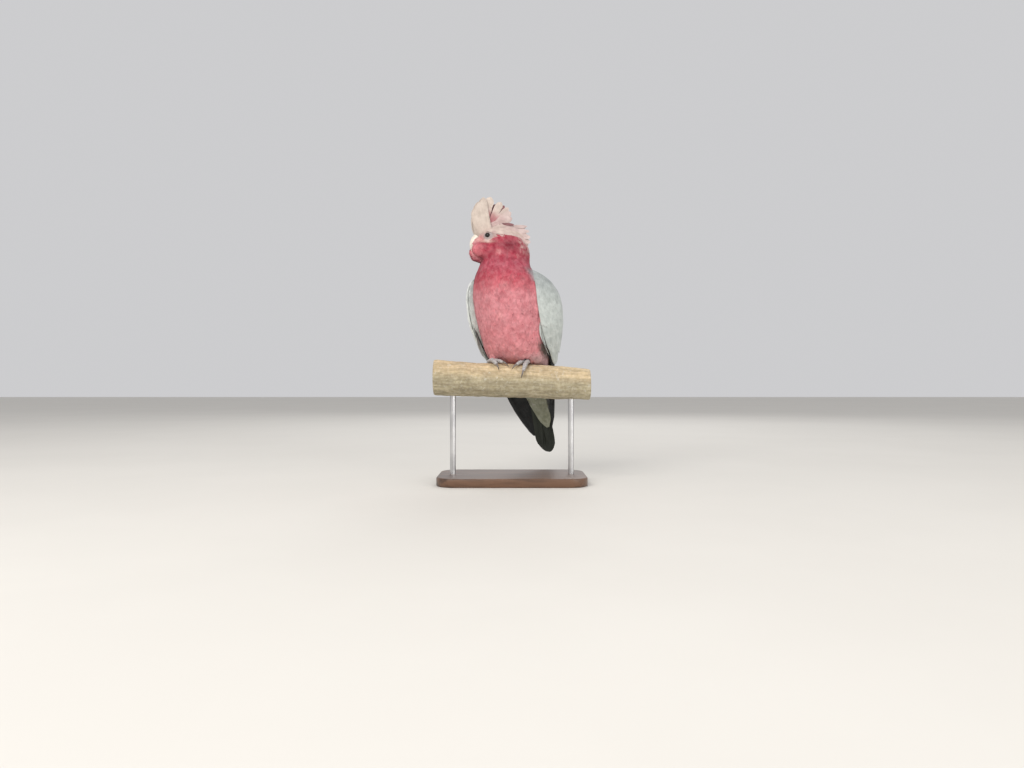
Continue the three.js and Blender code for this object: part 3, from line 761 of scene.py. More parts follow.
def scatter(faces, spacing, seed):
    # evenly spread roots on those faces of the skin
    dice = np.random.default_rng(seed)
    corner = skinPoints[skinQuads[faces]]
    slants = corner[:, 2] - corner[:, 0], corner[:, 3] - corner[:, 1]
    area = np.linalg.norm(np.cross(*slants), axis=1) / 2
    wanted = int(area.sum() / spacing**2 * 5)
    chosen = dice.choice(len(faces), wanted, p=area / area.sum())
    s, t = dice.random(wanted)[:, None], dice.random(wanted)[:, None]
    quad = corner[chosen]
    near, far = quad[:, 0] * (1 - s) + quad[:, 1] * s, quad[:, 3] * (1 - s) + quad[:, 2] * s
    spots = near * (1 - t) + far * t
    cells = np.floor(spots / spacing).astype(int).tolist()
    taken, kept = {}, []
    around = [(i, j, k) for i in (-1, 0, 1) for j in (-1, 0, 1) for k in (-1, 0, 1)]
    for index, (spot, (a, b, c)) in enumerate(zip(spots.tolist(), cells)):
        others = (other for i, j, k in around for other in taken.get((a + i, b + j, c + k), ()))
        if all(sum((u - v) ** 2 for u, v in zip(spot, other)) >= spacing * spacing for other in others):
            taken.setdefault((a, b, c), []).append(spot)
            kept.append(index)
    return spots[kept]


def outline(stations, root, broad, tip, power=2.3):
    # half width along a vane as a share of its widest
    swell = root + (1 - root) * ease(0, broad, stations)
    end = np.clip((stations - tip) / (1 - tip), 0, 1) * 0.975
    return swell * np.sqrt(1 - end**power)


def onFeather(spread, lengths, stations):
    # each point's place on its own feather: across it and along it
    return together(spread, (lengths[:, None] * stations)[..., None])


def coatPiece(name, roots, look, slot, unwrap, shadesOf, seed):
    # contour feathers at those roots
    dice = np.random.default_rng(seed)
    count = len(roots)
    stations = np.array(look["stations"])
    columns = look["columns"]
    lengths = look["length"] * (0.85 + 0.3 * dice.random(count))
    widths = look["width"] * (0.88 + 0.24 * dice.random(count))
    clump = cloudy(roots, look["clump"], 3.0)
    path, up, ahead = comb(roots, lengths, stations, dice.normal(0, look["stray"], count) + 0.5 * clump)
    side = np.cross(ahead, up)
    fluff = look["fluff"] * cloudy(roots, look["clump"], 11.0)
    depth = coatDepth(roots) * (0.97 + 0.06 * dice.random(count)) + fluff
    lift = depth[:, None] * (0.62 + 0.38 * stations**0.8)
    across = np.linspace(-1, 1, columns + 1)
    width = (widths[:, None] * outline(stations, look["root"], 0.35, look["tip"]))[..., None]
    spread = across * width
    ragged = dice.normal(0, look["ragged"], (count, len(stations), columns + 1))
    spread = spread * (1 + ragged * (np.abs(across) > 0.9))
    drop = look["cup"] * across**2 * width
    back = across**2 * width * look["round"] * (stations > 0.5)[:, None]
    frayed = lengths[:, None, None] * look["ragged"] * 0.6 * dice.normal(0, 1, spread.shape)
    back = back + frayed * (stations > 0.8)[:, None]
    grid = (path[:, :, None] + side[:, :, None] * spread[..., None]
            + up[:, :, None] * (lift[..., None] - drop)[..., None] - ahead[:, :, None] * back[..., None])
    shades = shadesOf(path, stations, across, dice)
    vanePiece(name, grid, up, look["thick"] * widths, shades, onFeather(spread, lengths, stations),
              unwrap(roots), look["material"], slot)


def roundTheBody(low, high):
    # an unwrap of the skin: turn round the body by height
    def unwrap(place):
        turn = bodyTurn(place) / 360 + 0.5
        return np.stack([0.01 + 0.98 * turn, 0.01 + 0.98 * (place[:, 2] - low) / (high - low)], -1)
    return unwrap


def contourShades(path, stations, across, dice):
    # each feather takes the marking at its tip, paler and softer at its edge
    count = len(path)
    tipShade = markings(path[:, -2])[:, None, None]
    own = (1 + dice.normal(0, 0.075, count))[:, None, None, None]
    edge = ease(0.5, 1.0, stations)[:, None, None]
    rim = (across**2)[:, None] * 0.5 + 0.5
    pale = tipShade * 1.22 + 0.03
    # a little darker towards the root: partly the feathers' own greyer bases, partly painted shade where they
    # lie covered
    shades = tipShade * own * (0.92 + 0.08 * ease(0.1, 0.6, stations))[:, None, None]
    return np.clip(shades * (1 - edge * rim * 0.6) + pale * edge * rim * 0.6, 0, 1)


regionValues = {"headFrom": 146, "neckFrom": 118, "bellyTop": 58, "ventTop": -12, "front": 100,
                "wingTop": 122, "liningTop": 112, "crestFrom": 16, "ringWide": 6.2, "ringTall": 5.0}


def regionFaces():
    # the skin's faces by the kind of feather that grows there
    at = regionValues
    centre = skinPoints[skinQuads].mean(1)
    forward, left, up = fromHead(centre)
    height, turn = centre[:, 2], np.abs(bodyTurn(centre))
    wing, tail = np.isin(facePart, wingParts), facePart == tailPart
    facing = (faceNormals * together(np.sign(centre[:, 0]) * 0.82, 0.57, 0.0)).sum(1)
    coverts = wing & (facing > -0.05) & (height < at["wingTop"])
    lining = wing & (facing < -0.45) & (height <= at["liningTop"]) & (centre[:, 1] > 2)
    ring = (np.hypot(forward / at["ringWide"], up / at["ringTall"]) < 1) & (np.abs(left) > 10)
    bill = (np.abs(left) < 6.5) & (forward > 9) & (up < 1)
    crest = (facePart == crestPart) & (up > at["crestFrom"])
    feathered = (height > at["headFrom"]) & ~wing & ~bill & ~ring & ~crest
    capped = (up > capLine(forward) + 3) & ((forward < -7) | (up > 6.5)) & (forward < 5)
    neck = (height > at["neckFrom"]) & (height <= at["headFrom"]) & ~coverts & ~tail
    overBranch = inPart(centre)
    y, z = perchAxis(overBranch[:, 0])
    covered = np.hypot(overBranch[:, 1] - y, overBranch[:, 2] - z) < perchValues["radius"] + 1.2
    trunk = (height <= at["neckFrom"]) & ~wing & ~tail & ~covered
    breast = trunk & (height > at["bellyTop"]) & (turn < at["front"])
    belly = trunk & (height <= at["bellyTop"]) & (height > at["ventTop"]) & (turn < at["front"])
    return {"face": feathered & (forward > -9) & ~capped, "sides": feathered & (forward <= -9) & ~capped,
            "neck": neck, "breast": breast, "belly": belly,
            "back": trunk & ~breast & ~belly & (height > at["ventTop"]),
            "vent": trunk & (height <= at["ventTop"]), "inner": lining}


regions = regionFaces()
smallVane = {"stations": [0, 0.38, 0.74, 1.0], "columns": 2}
plainVane = {"stations": [0, 0.3, 0.58, 0.82, 1.0], "columns": 4}
coats = {
    "face_feathers": {"region": "face", "spacing": 0.8, "length": 4.0, "width": 0.62, **smallVane},
    "head_feathers": {"region": "sides", "spacing": 1.05, "length": 6.6, "width": 1.0, **smallVane},
    "neck_feathers": {"region": "neck", "spacing": 1.5, "length": 9.5, "width": 1.6, **plainVane},
    "breast_feathers": {"region": "breast", "spacing": 1.8, "length": 12.0, "width": 2.1, **plainVane},
    "belly_feathers": {"region": "belly", "spacing": 1.9, "length": 13.0, "width": 2.2, **plainVane},
    "back_feathers": {"region": "back", "spacing": 2.6, "length": 14.0, "width": 3.3, **plainVane},
    "vent_feathers": {"region": "vent", "spacing": 3.0, "length": 17.0, "width": 3.8, **plainVane},
    "wing_lining": {"region": "inner", "spacing": 3.2, "length": 11.0, "width": 3.8, **plainVane},
}
commonLook = {"root": 0.5, "tip": 0.46, "cup": 0.04, "round": 0.35, "ragged": 0.08, "stray": 0.1,
              "thick": 0.04, "clump": 11.0, "fluff": 0.45, "material": downMaterial}


def liningShades(path, stations, across, dice):
    base = np.broadcast_to(plumes["wingShoulder"], path[:, 0].shape)[:, None, None]
    own = (1 + dice.normal(0, 0.06, len(path)))[:, None, None, None]
    # darker towards the root: partly the feathers' own bases, partly painted shade where they lie covered
    grow = (0.9 + 0.15 * stations)[:, None, None]
    return np.broadcast_to(base * own * grow, (len(path), len(stations), len(across), 3))


for order, (name, look) in enumerate(coats.items()):
    faces = np.nonzero(regions[look["region"]])[0]
    roots = scatter(faces, look["spacing"], 100 + order)
    low, high = roots[:, 2].min() - 1, roots[:, 2].max() + 1
    slot = "grey_feathers" if look["region"] in ("back", "vent", "inner") else "rose_feathers"
    shadesOf = liningShades if look["region"] == "inner" else contourShades
    coatPiece(name, roots, {**commonLook, **look}, slot, roundTheBody(low, high), shadesOf, 200 + order)


# Each folded wing, in level slices from the shoulder down: height, leading edge x and y, trailing
# edge x and y, how far its middle bulges out, and its thickness.
wingSlices = smoothTable([
    (131, 32, 7, 30, 9, 0, 0), (128, 32, -2, 22, 12, 7, 8), (121, 39, -6, 17, 24, 14, 13),
    (111, 45, -9, 13, 35, 21, 15), (97, 47.5, -10, 9, 45, 28, 16), (78, 48, -7, 6, 54, 31, 16),
    (55, 48, 1, 5, 61, 29, 15), (32, 47, 16, 4.5, 67, 23, 12.5), (10, 46, 35, 4.5, 76, 15, 9.5),
    (-15, 43, 55, 4.5, 87, 8, 7), (-42, 38, 65, 4.5, 94, 5, 5), (-70, 30, 80, 4.5, 102, 3, 3.6),
    (-92, 18, 93, 5, 108, 1.5, 2.6), (-104, 10, 103, 6, 111, 0.5, 1.8), (-108, 8, 108, 8, 110, 0, 0)])
heldOut = {1: (2.0, 6.0), -1: (13.0, 13.0)}  # of the leading edge, at the shoulder and the tip
wingHinge, wingArch = 0.7, 2.2
levels, faceSteps, turnSteps = 140, 90, 180  # of the tables over a wing's outer face


def wingPlace(down, across, lift, side, leastThick, leastChord):
    # across is a share of the way to the trailing edge; lift is in thicknesses out of the middle
    z, leadX, leadY, trailX, trailY, bulge, thick = np.moveaxis(wingSlices(down), -1, 0)
    inside = np.clip(across, 0, 1)
    chordX, chordY = trailX - leadX, trailY - leadY
    size = np.maximum(np.hypot(chordX, chordY), leastChord)
    offset = bulge * (1 - np.abs(2 * inside - 1) ** wingArch) + lift * np.maximum(thick, leastThick)
    shoulder, tip = heldOut[side]
    out = (shoulder + (tip - shoulder) * down) * (1 - wingHinge * inside)
    x = out + leadX + chordX * across + chordY / size * offset
    return x * side, leadY + chordY * across - chordX / size * offset, z


def wingSection(down, turn, side):
    # a point of a wing's surface: turn is 0 on the leading edge and 90 degrees on the outer face
    return together(*wingPlace(down, (1 - np.cos(turn)) / 2, np.sin(turn) / 2, side, 0, 1e-6))


def wingTables(side):
    # for each level, the turn at even steps along the outer face, and that face's length
    downs, turns = np.linspace(0, 1, levels + 1), np.linspace(0, math.pi, turnSteps + 1)
    ring = wingSection(downs[:, None], turns[None, :], side)
    steps = np.linalg.norm(np.diff(ring, axis=1), axis=-1)
    run = np.concatenate([np.zeros((levels + 1, 1)), np.cumsum(steps, 1)], 1)
    run = np.maximum(run, 1e-6 * np.arange(turnSteps + 1)[None])
    even = np.linspace(0, 1, faceSteps + 1)
    turnAt = np.array([np.interp(even * r[-1], r, turns) for r in run])
    return turnAt, run[:, -1]


wingMaps = {side: wingTables(side) for side in (1, -1)}
levelHeights = wingSlices(np.linspace(0, 1, levels + 1))[:, 0]


def wingDown(height):
    return np.interp(height, levelHeights[::-1], np.linspace(0, 1, levels + 1)[::-1])


def wingGirth(height, side):
    # how wide the outer face is at that height
    return np.interp(height, levelHeights[::-1], wingMaps[side][1][::-1])


def onWing(share, height, lift, side):
    # share runs over the outer face from its leading edge, 0, to its trailing edge, 1
    down = wingDown(height)
    turnAt = wingMaps[side][0]

    def turnOf(q, d):
        inside = np.abs(q)
        inside = np.where(inside > 1, 2 - inside, inside)
        row = np.clip(d * levels, 0, levels - 0.001)
        low = row.astype(int)
        column = np.clip(inside * faceSteps, 0, faceSteps - 0.001)
        left = column.astype(int)
        a, b = row - low, column - left
        turn = ((turnAt[low, left] * (1 - b) + turnAt[low, left + 1] * b) * (1 - a)
                + (turnAt[low + 1, left] * (1 - b) + turnAt[low + 1, left + 1] * b) * a)
        turn = np.where(q > 1, 2 * math.pi - turn, turn)
        return np.where(q < 0, -turn, turn)

    def point(q, d):
        return wingSection(d, turnOf(q, d), side)

    here = point(share, down)
    alongIt = point(share, np.clip(down + 0.01, 0, 1)) - point(share, np.clip(down - 0.01, 0, 1))
    acrossIt = point(share + 0.015, down) - point(share - 0.015, down)
    up = unit(np.cross(acrossIt, alongIt)) * -side
    return here + up * np.asarray(lift)[..., None], up


def wingSheet(across, height, lift, side):
    # a place in the middle of the wing's thickness, raised outwards by lift
    x, y, _ = wingPlace(wingDown(height), across, lift, side, 1.2, 8.0)
    return together(x, y, height)


def line(places, share):
    # evenly spaced knots joined by straight runs, column by column
    places = np.array(places, float)
    knots = np.linspace(0, 1, len(places))
    if places.ndim == 1:
        return np.interp(share, knots, places)
    return np.stack([np.interp(share, knots, places[:, k]) for k in range(places.shape[1])], -1)


def vaneShades(stations, across, middle, edge, look, own):
    # colour over each vane: darker at the root, partly its own darker base and partly painted shade where the
    # feathers over it cover it, with a pale rim along its sides and round its tip
    rim = np.maximum(ease(0.5, 1.0, np.abs(across)) * look["sideRim"],
                     ease(0.78, 1.0, stations)[:, None] * look["tipRim"])[..., None]
    web = 1 - look["innerWeb"] * ease(-0.2, 0.4, -across)[:, None]
    root = (look["rootShade"] + (1 - look["rootShade"]) * ease(0.1, 0.6, stations))[:, None, None]
    body = middle[:, None, None, :] * own[:, None, None, None] * root * web
    return np.clip(body * (1 - rim) + edge[:, None, None, :] * rim, 0, 1)


def spreadVanes(path, up, sideways, half, look, dice=None, ragged=0.0):
    # each vane's sheet, cupped about its rachis, and each point's place on its own feather
    stations, columns = np.array(look["stations"]), np.linspace(-1, 1, look["columns"] + 1)
    spread = columns * half[..., None]
    if dice is not None:
        spread = spread * (1 + dice.normal(0, ragged, spread.shape) * (np.abs(columns) > 0.9))
    drop = look["cup"] * columns**2 * half[..., None]
    grid = path[:, :, None] + sideways[:, :, None] * spread[..., None] - up[:, :, None] * drop[..., None]
    lengths = np.linalg.norm(np.diff(path, axis=1), axis=-1).sum(1)
    return grid, onFeather(spread, lengths, stations), stations, columns


def flightVanes(side, look, seed):
    # a row of long feathers in the wing's own sheet, the first at the leading edge and undermost
    dice = np.random.default_rng(seed)
    count = look["count"]
    order = np.linspace(0, 1, count)
    roots, tips, widths, layers = (line(look[k], order) for k in ("roots", "tips", "widths", "layers"))
    stations = np.array(look["stations"])
    t = stations ** look["bend"]
    across = roots[:, :1] + (tips[:, :1] - roots[:, :1]) * t + dice.normal(0, 0.006, (count, 1))
    height = roots[:, 1:] + (tips[:, 1:] - roots[:, 1:]) * stations
    lift = layers[:, :1] + (layers[:, 1:] - layers[:, :1]) * stations
    path = wingSheet(across, height, lift, side)
    sideways = wingSheet(across + 0.03, height, lift, side) - wingSheet(across - 0.03, height, lift, side)
    ahead = unit(np.gradient(path, axis=1))
    up = unit(np.cross(unit(sideways), ahead)) * -side
    half = widths[:, None] * outline(stations, look["root"], 0.2, look["tip"], look["power"])
    grid, vane, _, columns = spreadVanes(path, up, unit(np.cross(ahead, up)), half, look, dice, 0.02)
    own = 1 + dice.normal(0, 0.03, count)
    shades = vaneShades(stations, columns * side, line(look["colours"], order), line(look["edges"], order),
                        look, own)
    patch = np.stack([0.05 + 0.9 * order, np.full(count, look["patch"])], -1)
    return grid, up, np.full(count, look["thick"]), shades, vane, patch


def covertVanes(side, look, seed):
    # rows of short feathers wrapped over the wing's outer face
    dice = np.random.default_rng(seed)
    spots = []
    for row, (height, length, width) in enumerate(look["rows"]):
        girth = look["girth"](np.array(height - 0.5 * length), side)
        count = max(3, int(round(look["cover"] * girth / width)))
        shift = 0.5 * (row % 2)
        for k in range(count):
            share = look["from"] + (look["to"] - look["from"]) * (k + shift) / count
            spots.append((share, height, length, width, row))
    share, height, length, width, row = np.array(spots).T
    count = len(spots)
    hang = lobeDip(share) * look["dipShare"][row.astype(int)]
    height = height + dice.normal(0, 0.06, count) * length + hang
    share = share + dice.normal(0, 0.01, count)
    stations, columns = np.array(look["stations"]), np.linspace(-1, 1, look["columns"] + 1)
    spine = np.repeat(share[:, None], len(stations), 1)
    level = height[:, None] - length[:, None] * stations
    lift = look["lifts"][0] + (look["lifts"][1] - look["lifts"][0]) * ease(0, 0.8, stations)
    lift = lift - 0.1 * stations**5 + dice.normal(0, 0.06, count)[:, None]
    half = width[:, None] * outline(stations, 0.5, 0.3, look["tip"], 2.4)
    half = half * (0.92 + 0.16 * dice.random(count))[:, None]
    girth = np.maximum(look["girth"](level, side), look["leastGirth"])
    spread = columns * half[..., None]
    back = columns**2 * half[..., None] * 0.3 * (stations > 0.5)[:, None]
    grid, _ = look["surface"](spine[..., None] + spread / girth[..., None], level[..., None] + back,
                              lift[..., None] - look["cup"] * columns**2 * half[..., None], side)
    _, up = look["surface"](spine, level, lift, side)
    shade, edge = look["shadesOf"](share, level[:, -1])
    own = 1 + dice.normal(0, look["uneven"], count) + 0.06 * cloudy(grid[:, -1, 3], 8.0)
    shades = vaneShades(stations, columns * side, shade, edge, look, own)
    vane = onFeather(spread, length, stations)
    patch = np.stack([0.05 + 0.9 * np.clip(share, 0, 1), (height + 110) / 250], -1)
    if (side > 0) != (look["surface"] is onEdge):  # so that their faces look outwards
        grid, shades, vane = grid[:, :, ::-1], shades[:, :, ::-1], vane[:, :, ::-1]
    return grid, up, 0.03 * width, shades, vane, patch


def covertShades(share, height):
    base = blended(plumes["wingShoulder"], plumes["wingPale"], ease(118, 70, height))
    base = blended(base, plumes["mantle"], 0.5 * ease(0.72, 0.95, share) * ease(40, 90, height))
    # a little darker on the wing's inner side, towards the body: painted shade between wing and body
    base = base * (1 - 0.15 * ease(-0.03, -0.14, share))[..., None]
    return base, base * 0.4 + plumes["wingEdge"] * 0.6


def edgeWidth(height, side):
    # how far the small feathers of the leading edge wrap round towards the body
    return np.interp(height, [4, 20, 33, 46, 60, 75, 90, 102, 114, 122],
                     [1.5, 4, 7, 9, 11, 13, 14, 13, 9, 4])


def onEdge(share, height, lift, side):
    # share runs from the leading edge, 0, round to where the wing meets the flank, 1
    def place(s, z):
        lead = onWing(np.full(np.broadcast_shapes(s.shape, z.shape), 0.045), z, np.zeros(z.shape), side)[0]
        width = edgeWidth(z, side)
        inward, front = width * s, 0.1 * width * s - 0.22 * width * np.sin(np.clip(s, -0.2, 1.2) * math.pi)
        return lead + np.stack([-side * inward, front, np.zeros_like(inward)], -1)

    share, height = np.broadcast_arrays(share, height)
    run = place(share, height - 1.0) - place(share, height + 1.0)
    turn = place(share + 0.05, height) - place(share - 0.05, height)
    up = unit(np.cross(turn, run)) * side
    return place(share, height) + up * np.asarray(lift)[..., None], up


def edgeShades(share, height):
    base = blended(plumes["wingShoulder"], plumes["wingPale"], ease(110, 60, height))
    base = blended(base, plumes["wingEdge"], 0.8 * ease(0.45, 0.1, share)) * 1.15
    return base, np.broadcast_to(plumes["wingEdge"], base.shape)


def lobeDip(share):
    # how much lower the coverts hang near the leading edge
    return -np.interp(share, [-0.1, 0.0, 0.04, 0.08, 0.12, 0.18, 0.25, 0.36],
                      [12, 20, 22, 20.5, 16, 9, 3, 0])


lesserCoverts = {
    "rows": [(131.5 - 3.5 * k, 9 + 0.35 * k, 2.9 + 0.1 * k) for k in range(19)], "cover": 1.75,
    "from": -0.42, "to": 1.0, "lifts": (-0.4, 0.15), "tip": 0.42,
    "cup": 0.05, "stations": [0, 0.35, 0.65, 0.85, 1.0], "columns": 6, "sideRim": 0.3, "tipRim": 0.4,
    "innerWeb": 0.02, "rootShade": 0.95, "uneven": 0.05, "shadesOf": covertShades, "surface": onWing,
    "girth": wingGirth, "leastGirth": 16, "dipShare": np.zeros(25),
}
medianCoverts = {
    **lesserCoverts, "rows": [(78.0, 24.0, 5.2), (70.0, 26.0, 5.6)], "cover": 1.3, "tip": 0.55,
    "from": -0.2, "stations": [0, 0.25, 0.5, 0.7, 0.85, 0.95, 1.0], "lifts": (-1.2, 0.35),
    "dipShare": np.array([0.15, 0.35]),
}
greaterCoverts = {
    **lesserCoverts, "rows": [(64.0, 34.0, 6.2), (60.0, 40.0, 6.6)], "cover": 1.25, "tip": 0.68,
    "from": -0.14, "stations": [0, 0.2, 0.4, 0.6, 0.75, 0.87, 0.95, 1.0], "lifts": (-1.3, 0.6),
    "innerWeb": 0.12, "sideRim": 0.5, "dipShare": np.array([0.6, 1.0]),
}
longStations = [0, 0.12, 0.26, 0.4, 0.54, 0.67, 0.78, 0.87, 0.94, 0.98, 1.0]
primaries = {
    "count": 10, "columns": 6, "stations": longStations, "bend": 1.1, "patch": 0.12, "thick": 0.22,
    "roots": [(0.04, 48), (0.12, 50), (0.22, 50), (0.34, 48)],
    "tips": [(0.42, -100), (0.5, -107.5), (0.6, -103), (0.72, -88), (0.82, -66), (0.88, -44)],
    "widths": [6.2, 7.8, 8.4, 8.6, 8.6], "layers": [(-0.5, -0.6), (-0.35, -0.5), (-0.2, -0.1)],
    "root": 0.5, "tip": 0.72, "power": 2.0, "cup": 0.1,
    "colours": [plumes["primary"]] * 2 + [plumes["primary"] * 1.25], "edges": [plumes["primaryCovert"]] * 2,
    "sideRim": 0.25, "tipRim": 0.12, "innerWeb": 0.25, "rootShade": 0.9,
}
secondaries = {
    **primaries, "patch": 0.3, "roots": [(0.3, 66), (0.5, 72), (0.7, 78), (0.92, 86)],
    "tips": [(0.45, -28), (0.62, -31), (0.78, -27), (0.9, -16), (0.97, 2)], "widths": [8.6, 9.0, 8.8, 8.0],
    "layers": [(-0.3, -0.5), (-0.15, -0.45), (0.1, -0.1)], "tip": 0.84, "power": 2.4, "cup": 0.1,
    "colours": [plumes["secondary"] * 0.85, plumes["secondary"], plumes["secondary"] * 1.05],
    "edges": [plumes["wingEdge"]] * 2, "sideRim": 0.45, "tipRim": 0.5, "innerWeb": 0.3, "rootShade": 0.85,
}
leadingStrip = {
    **primaries, "count": 4, "patch": 0.5, "roots": [(0.05, 60), (0.09, 60)], "root": 0.12,
    "tips": [(-0.06, 12), (-0.03, 18), (0.0, 24), (0.03, 30)], "widths": [2.6, 2.2, 2.2, 2.6],
    "layers": [(-0.3, -0.42), (-0.25, -0.1)], "tip": 0.6,
    # the second and fourth feathers are darker than the rest: painted shade in the slits between the pale
    # ones
    "colours": [plumes["wingPale"] * k for k in (1.15, 0.6, 1.0, 0.65)],
    "edges": [plumes["wingEdge"], plumes["wingPale"]], "sideRim": 0.7, "tipRim": 0.3, "innerWeb": 0.0,
    "rootShade": 1.0,
}
edgeCoverts = {
    **lesserCoverts, "rows": [(119.0 - 4.0 * k, 11 + 0.35 * k, 2.4 + 0.06 * k) for k in range(25)],
    "cover": 1.6, "from": -0.02, "surface": onEdge, "girth": edgeWidth, "leastGirth": 3, "lifts": (0.6, 1.2),
    "shadesOf": edgeShades,
}


def makeWing(side, label):
    sets = [("flight_primaries_", primaries, flightMaterial, "tail_feathers"),
            ("flight_secondaries_", secondaries, flightMaterial, "grey_feathers"),
            ("leading_feathers_", leadingStrip, covertMaterial, "grey_feathers")]
    for k, (prefix, look, material, slot) in enumerate(sets):
        vanePiece(prefix + label, *flightVanes(side, look, 300 + 10 * k + side), material, slot)
    rows = [("lesser_coverts_", lesserCoverts), ("median_coverts_", medianCoverts),
            ("greater_coverts_", greaterCoverts)] + [("marginal_coverts_", edgeCoverts)] * (side < 0)
    for k, (prefix, look) in enumerate(rows):
        if side < 0 and look is not edgeCoverts:
            look = {**look, "from": 0.03}  # the marginal coverts take over at its leading edge
        parts = covertVanes(side, look, 400 + 10 * k + side)
        vanePiece(prefix + label, *parts, covertMaterial, "grey_feathers")


for side, label in bothSides:
    makeWing(side, label)


# The tail and the coverts under and over its root follow curves in the bird's middle plane.
tailLine = smoothTable([(4, 62, -2), (5, 81, -48), (4, 98, -86), (1, 120, -134)])
tailSections = smoothTable([(14, 5), (17, 4.2), (19, 3.2), (19, 2.4), (17, 1.7), (11, 1.1)])
undertailLine = smoothTable([(4, 60, -16), (6, 70, -44), (7, 80, -68), (8, 89, -92)])
undertailSections = smoothTable([(15, 7), (17, 6.5), (14, 5.5), (9, 3.6), (5, 1.6)])


def besideLine(middleLine, share, lateral, lift):
    # lateral is towards the bird's left and lift is towards its back
    centre = middleLine(share)
    along = unit(middleLine(np.clip(share + 0.01, 0, 1)) - middleLine(np.clip(share - 0.01, 0, 1)))
    sideways = unit(np.cross(along, np.array([0.0, 1.0, 0.0])))
    up = np.cross(sideways, along)
    return centre + sideways * np.asarray(lateral)[..., None] + up * np.asarray(lift)[..., None], up


def lineVanes(middleLine, share, lateral, lift, widths, look, colours, edges, own, under=False):
    # share, lateral and lift are feathers x rows; under turns the vanes' faces to the belly
    path, up = besideLine(middleLine, share, lateral, lift)
    ahead = unit(np.gradient(path, axis=1))
    up = -up if under else up
    up = unit(up - ahead * (up * ahead).sum(-1, keepdims=True))
    shape = outline(np.array(look["stations"]), look["root"], 0.25, look["tip"], look["power"])
    half = widths[:, None] * shape
    grid, vane, stations, columns = spreadVanes(path, up, np.cross(ahead, up), half, look)
    shades = vaneShades(stations, columns, colours, edges, look, own)
    patch = np.stack([0.5 + lateral[:, 0] / 60, 0.05 + 0.9 * share[:, 0]], -1)
    return grid, up, np.full(len(share), look["thick"]), shades, vane, patch


tailLook = {"stations": longStations, "columns": 6, "root": 0.6, "tip": 0.86, "power": 2.3, "cup": 0.07,
            "thick": 0.25, "sideRim": 0.5, "tipRim": 0.1, "innerWeb": 0.12, "rootShade": 0.95, "count": 12,
            "halfWidth": 7.3}
tailCoverts = {**tailLook, "stations": [0, 0.25, 0.5, 0.7, 0.85, 0.95, 1.0], "tip": 0.45, "cup": 0.2,
               "thick": 0.2, "sideRim": 0.35, "tipRim": 0.5, "root": 0.5}


def makeTail():
    dice = np.random.default_rng(51)
    count = tailLook["count"]
    outermost = (count - 1) / 2
    place = np.arange(count) - outermost
    stations = np.array(tailLook["stations"])
    tip = 0.985 - 0.0022 * place**2
    share = 0.06 + (tip[:, None] - 0.06) * stations
    lateral = place[:, None] * (0.9 + 0.95 * stations)
    half = tailSections(share)
    # the middle pair lies on top and is a little paler
    lift = half[..., 1] * ((outermost - np.abs(place)) / 5 * 1.5 - 0.75)[:, None] - 0.008 * lateral**2
    shade = plumes["tail"] * (1.0 + 0.2 * (np.abs(place) < 1))[:, None]
    edge = np.broadcast_to(plumes["tailEdge"], (count, 3))
    parts = lineVanes(tailLine, share, lateral, lift, np.full(count, tailLook["halfWidth"]), tailLook, shade,
                      edge, 1 + dice.normal(0, 0.03, count))
    shades = parts[3] * (1 - 0.45 * ease(0.6, 0.95, stations)[..., None, None])
    vanePiece("tail_feathers", *parts[:3], shades, *parts[4:], flightMaterial, "tail_feathers")


def makeTailCoverts(name, middleLine, sections, spots, shade, edge, under, seed, lean=0.0):
    # spots lists share of the line, lateral share of the half width and length as a share of the line
    dice = np.random.default_rng(seed)
    spots = np.array(spots)
    count = len(spots)
    stations = np.array(tailCoverts["stations"])
    share = spots[:, :1] + spots[:, 2:3] * stations + dice.normal(0, 0.008, (count, 1))
    share = np.clip(share, 0, 1)
    half = sections(share)
    across = spots[:, 1:2] * (1 - 0.25 * stations) + dice.normal(0, 0.03, (count, 1))
    lateral = across * half[..., 0] * 0.8 + lean * share**2
    dome = np.sqrt(np.clip(1 - (across * 0.8) ** 2, 0.05, 1)) * half[..., 1]
    lift = dome - 1.5 + 1.4 * stations
    shades = blended(shade[None], shade[None] * 1.12, dice.random(count))
    parts = lineVanes(middleLine, share, lateral, -lift if under else lift, 5.2 + 0.8 * dice.random(count),
                      tailCoverts, shades, np.broadcast_to(edge, (count, 3)),
                      1 + dice.normal(0, 0.04, count), under)
    vanePiece(name, *parts, covertMaterial, "grey_feathers")


makeTail()
underSpots = [(row * 0.09, k, 0.3) for row in range(8) for k in np.linspace(-0.9, 0.9, 7 - row // 3)
              if row * 0.09 + 0.3 < 0.99]
underSpots += [(0.66, 0.5, 0.31), (0.66, -0.5, 0.31), (0.68, 0.0, 0.32)]
makeTailCoverts("undertail_coverts", undertailLine, undertailSections, underSpots, plumes["undertail"],
                plumes["undertail"] * 1.35, True, 61, 9.0)
overSpots = [(row * 0.06, k, 0.26) for row in range(5) for k in np.linspace(-0.85, 0.85, 6 + row % 2)]
makeTailCoverts("uppertail_coverts", tailLine, tailSections, overSpots, plumes["rump"], plumes["wingEdge"],
                False, 62)
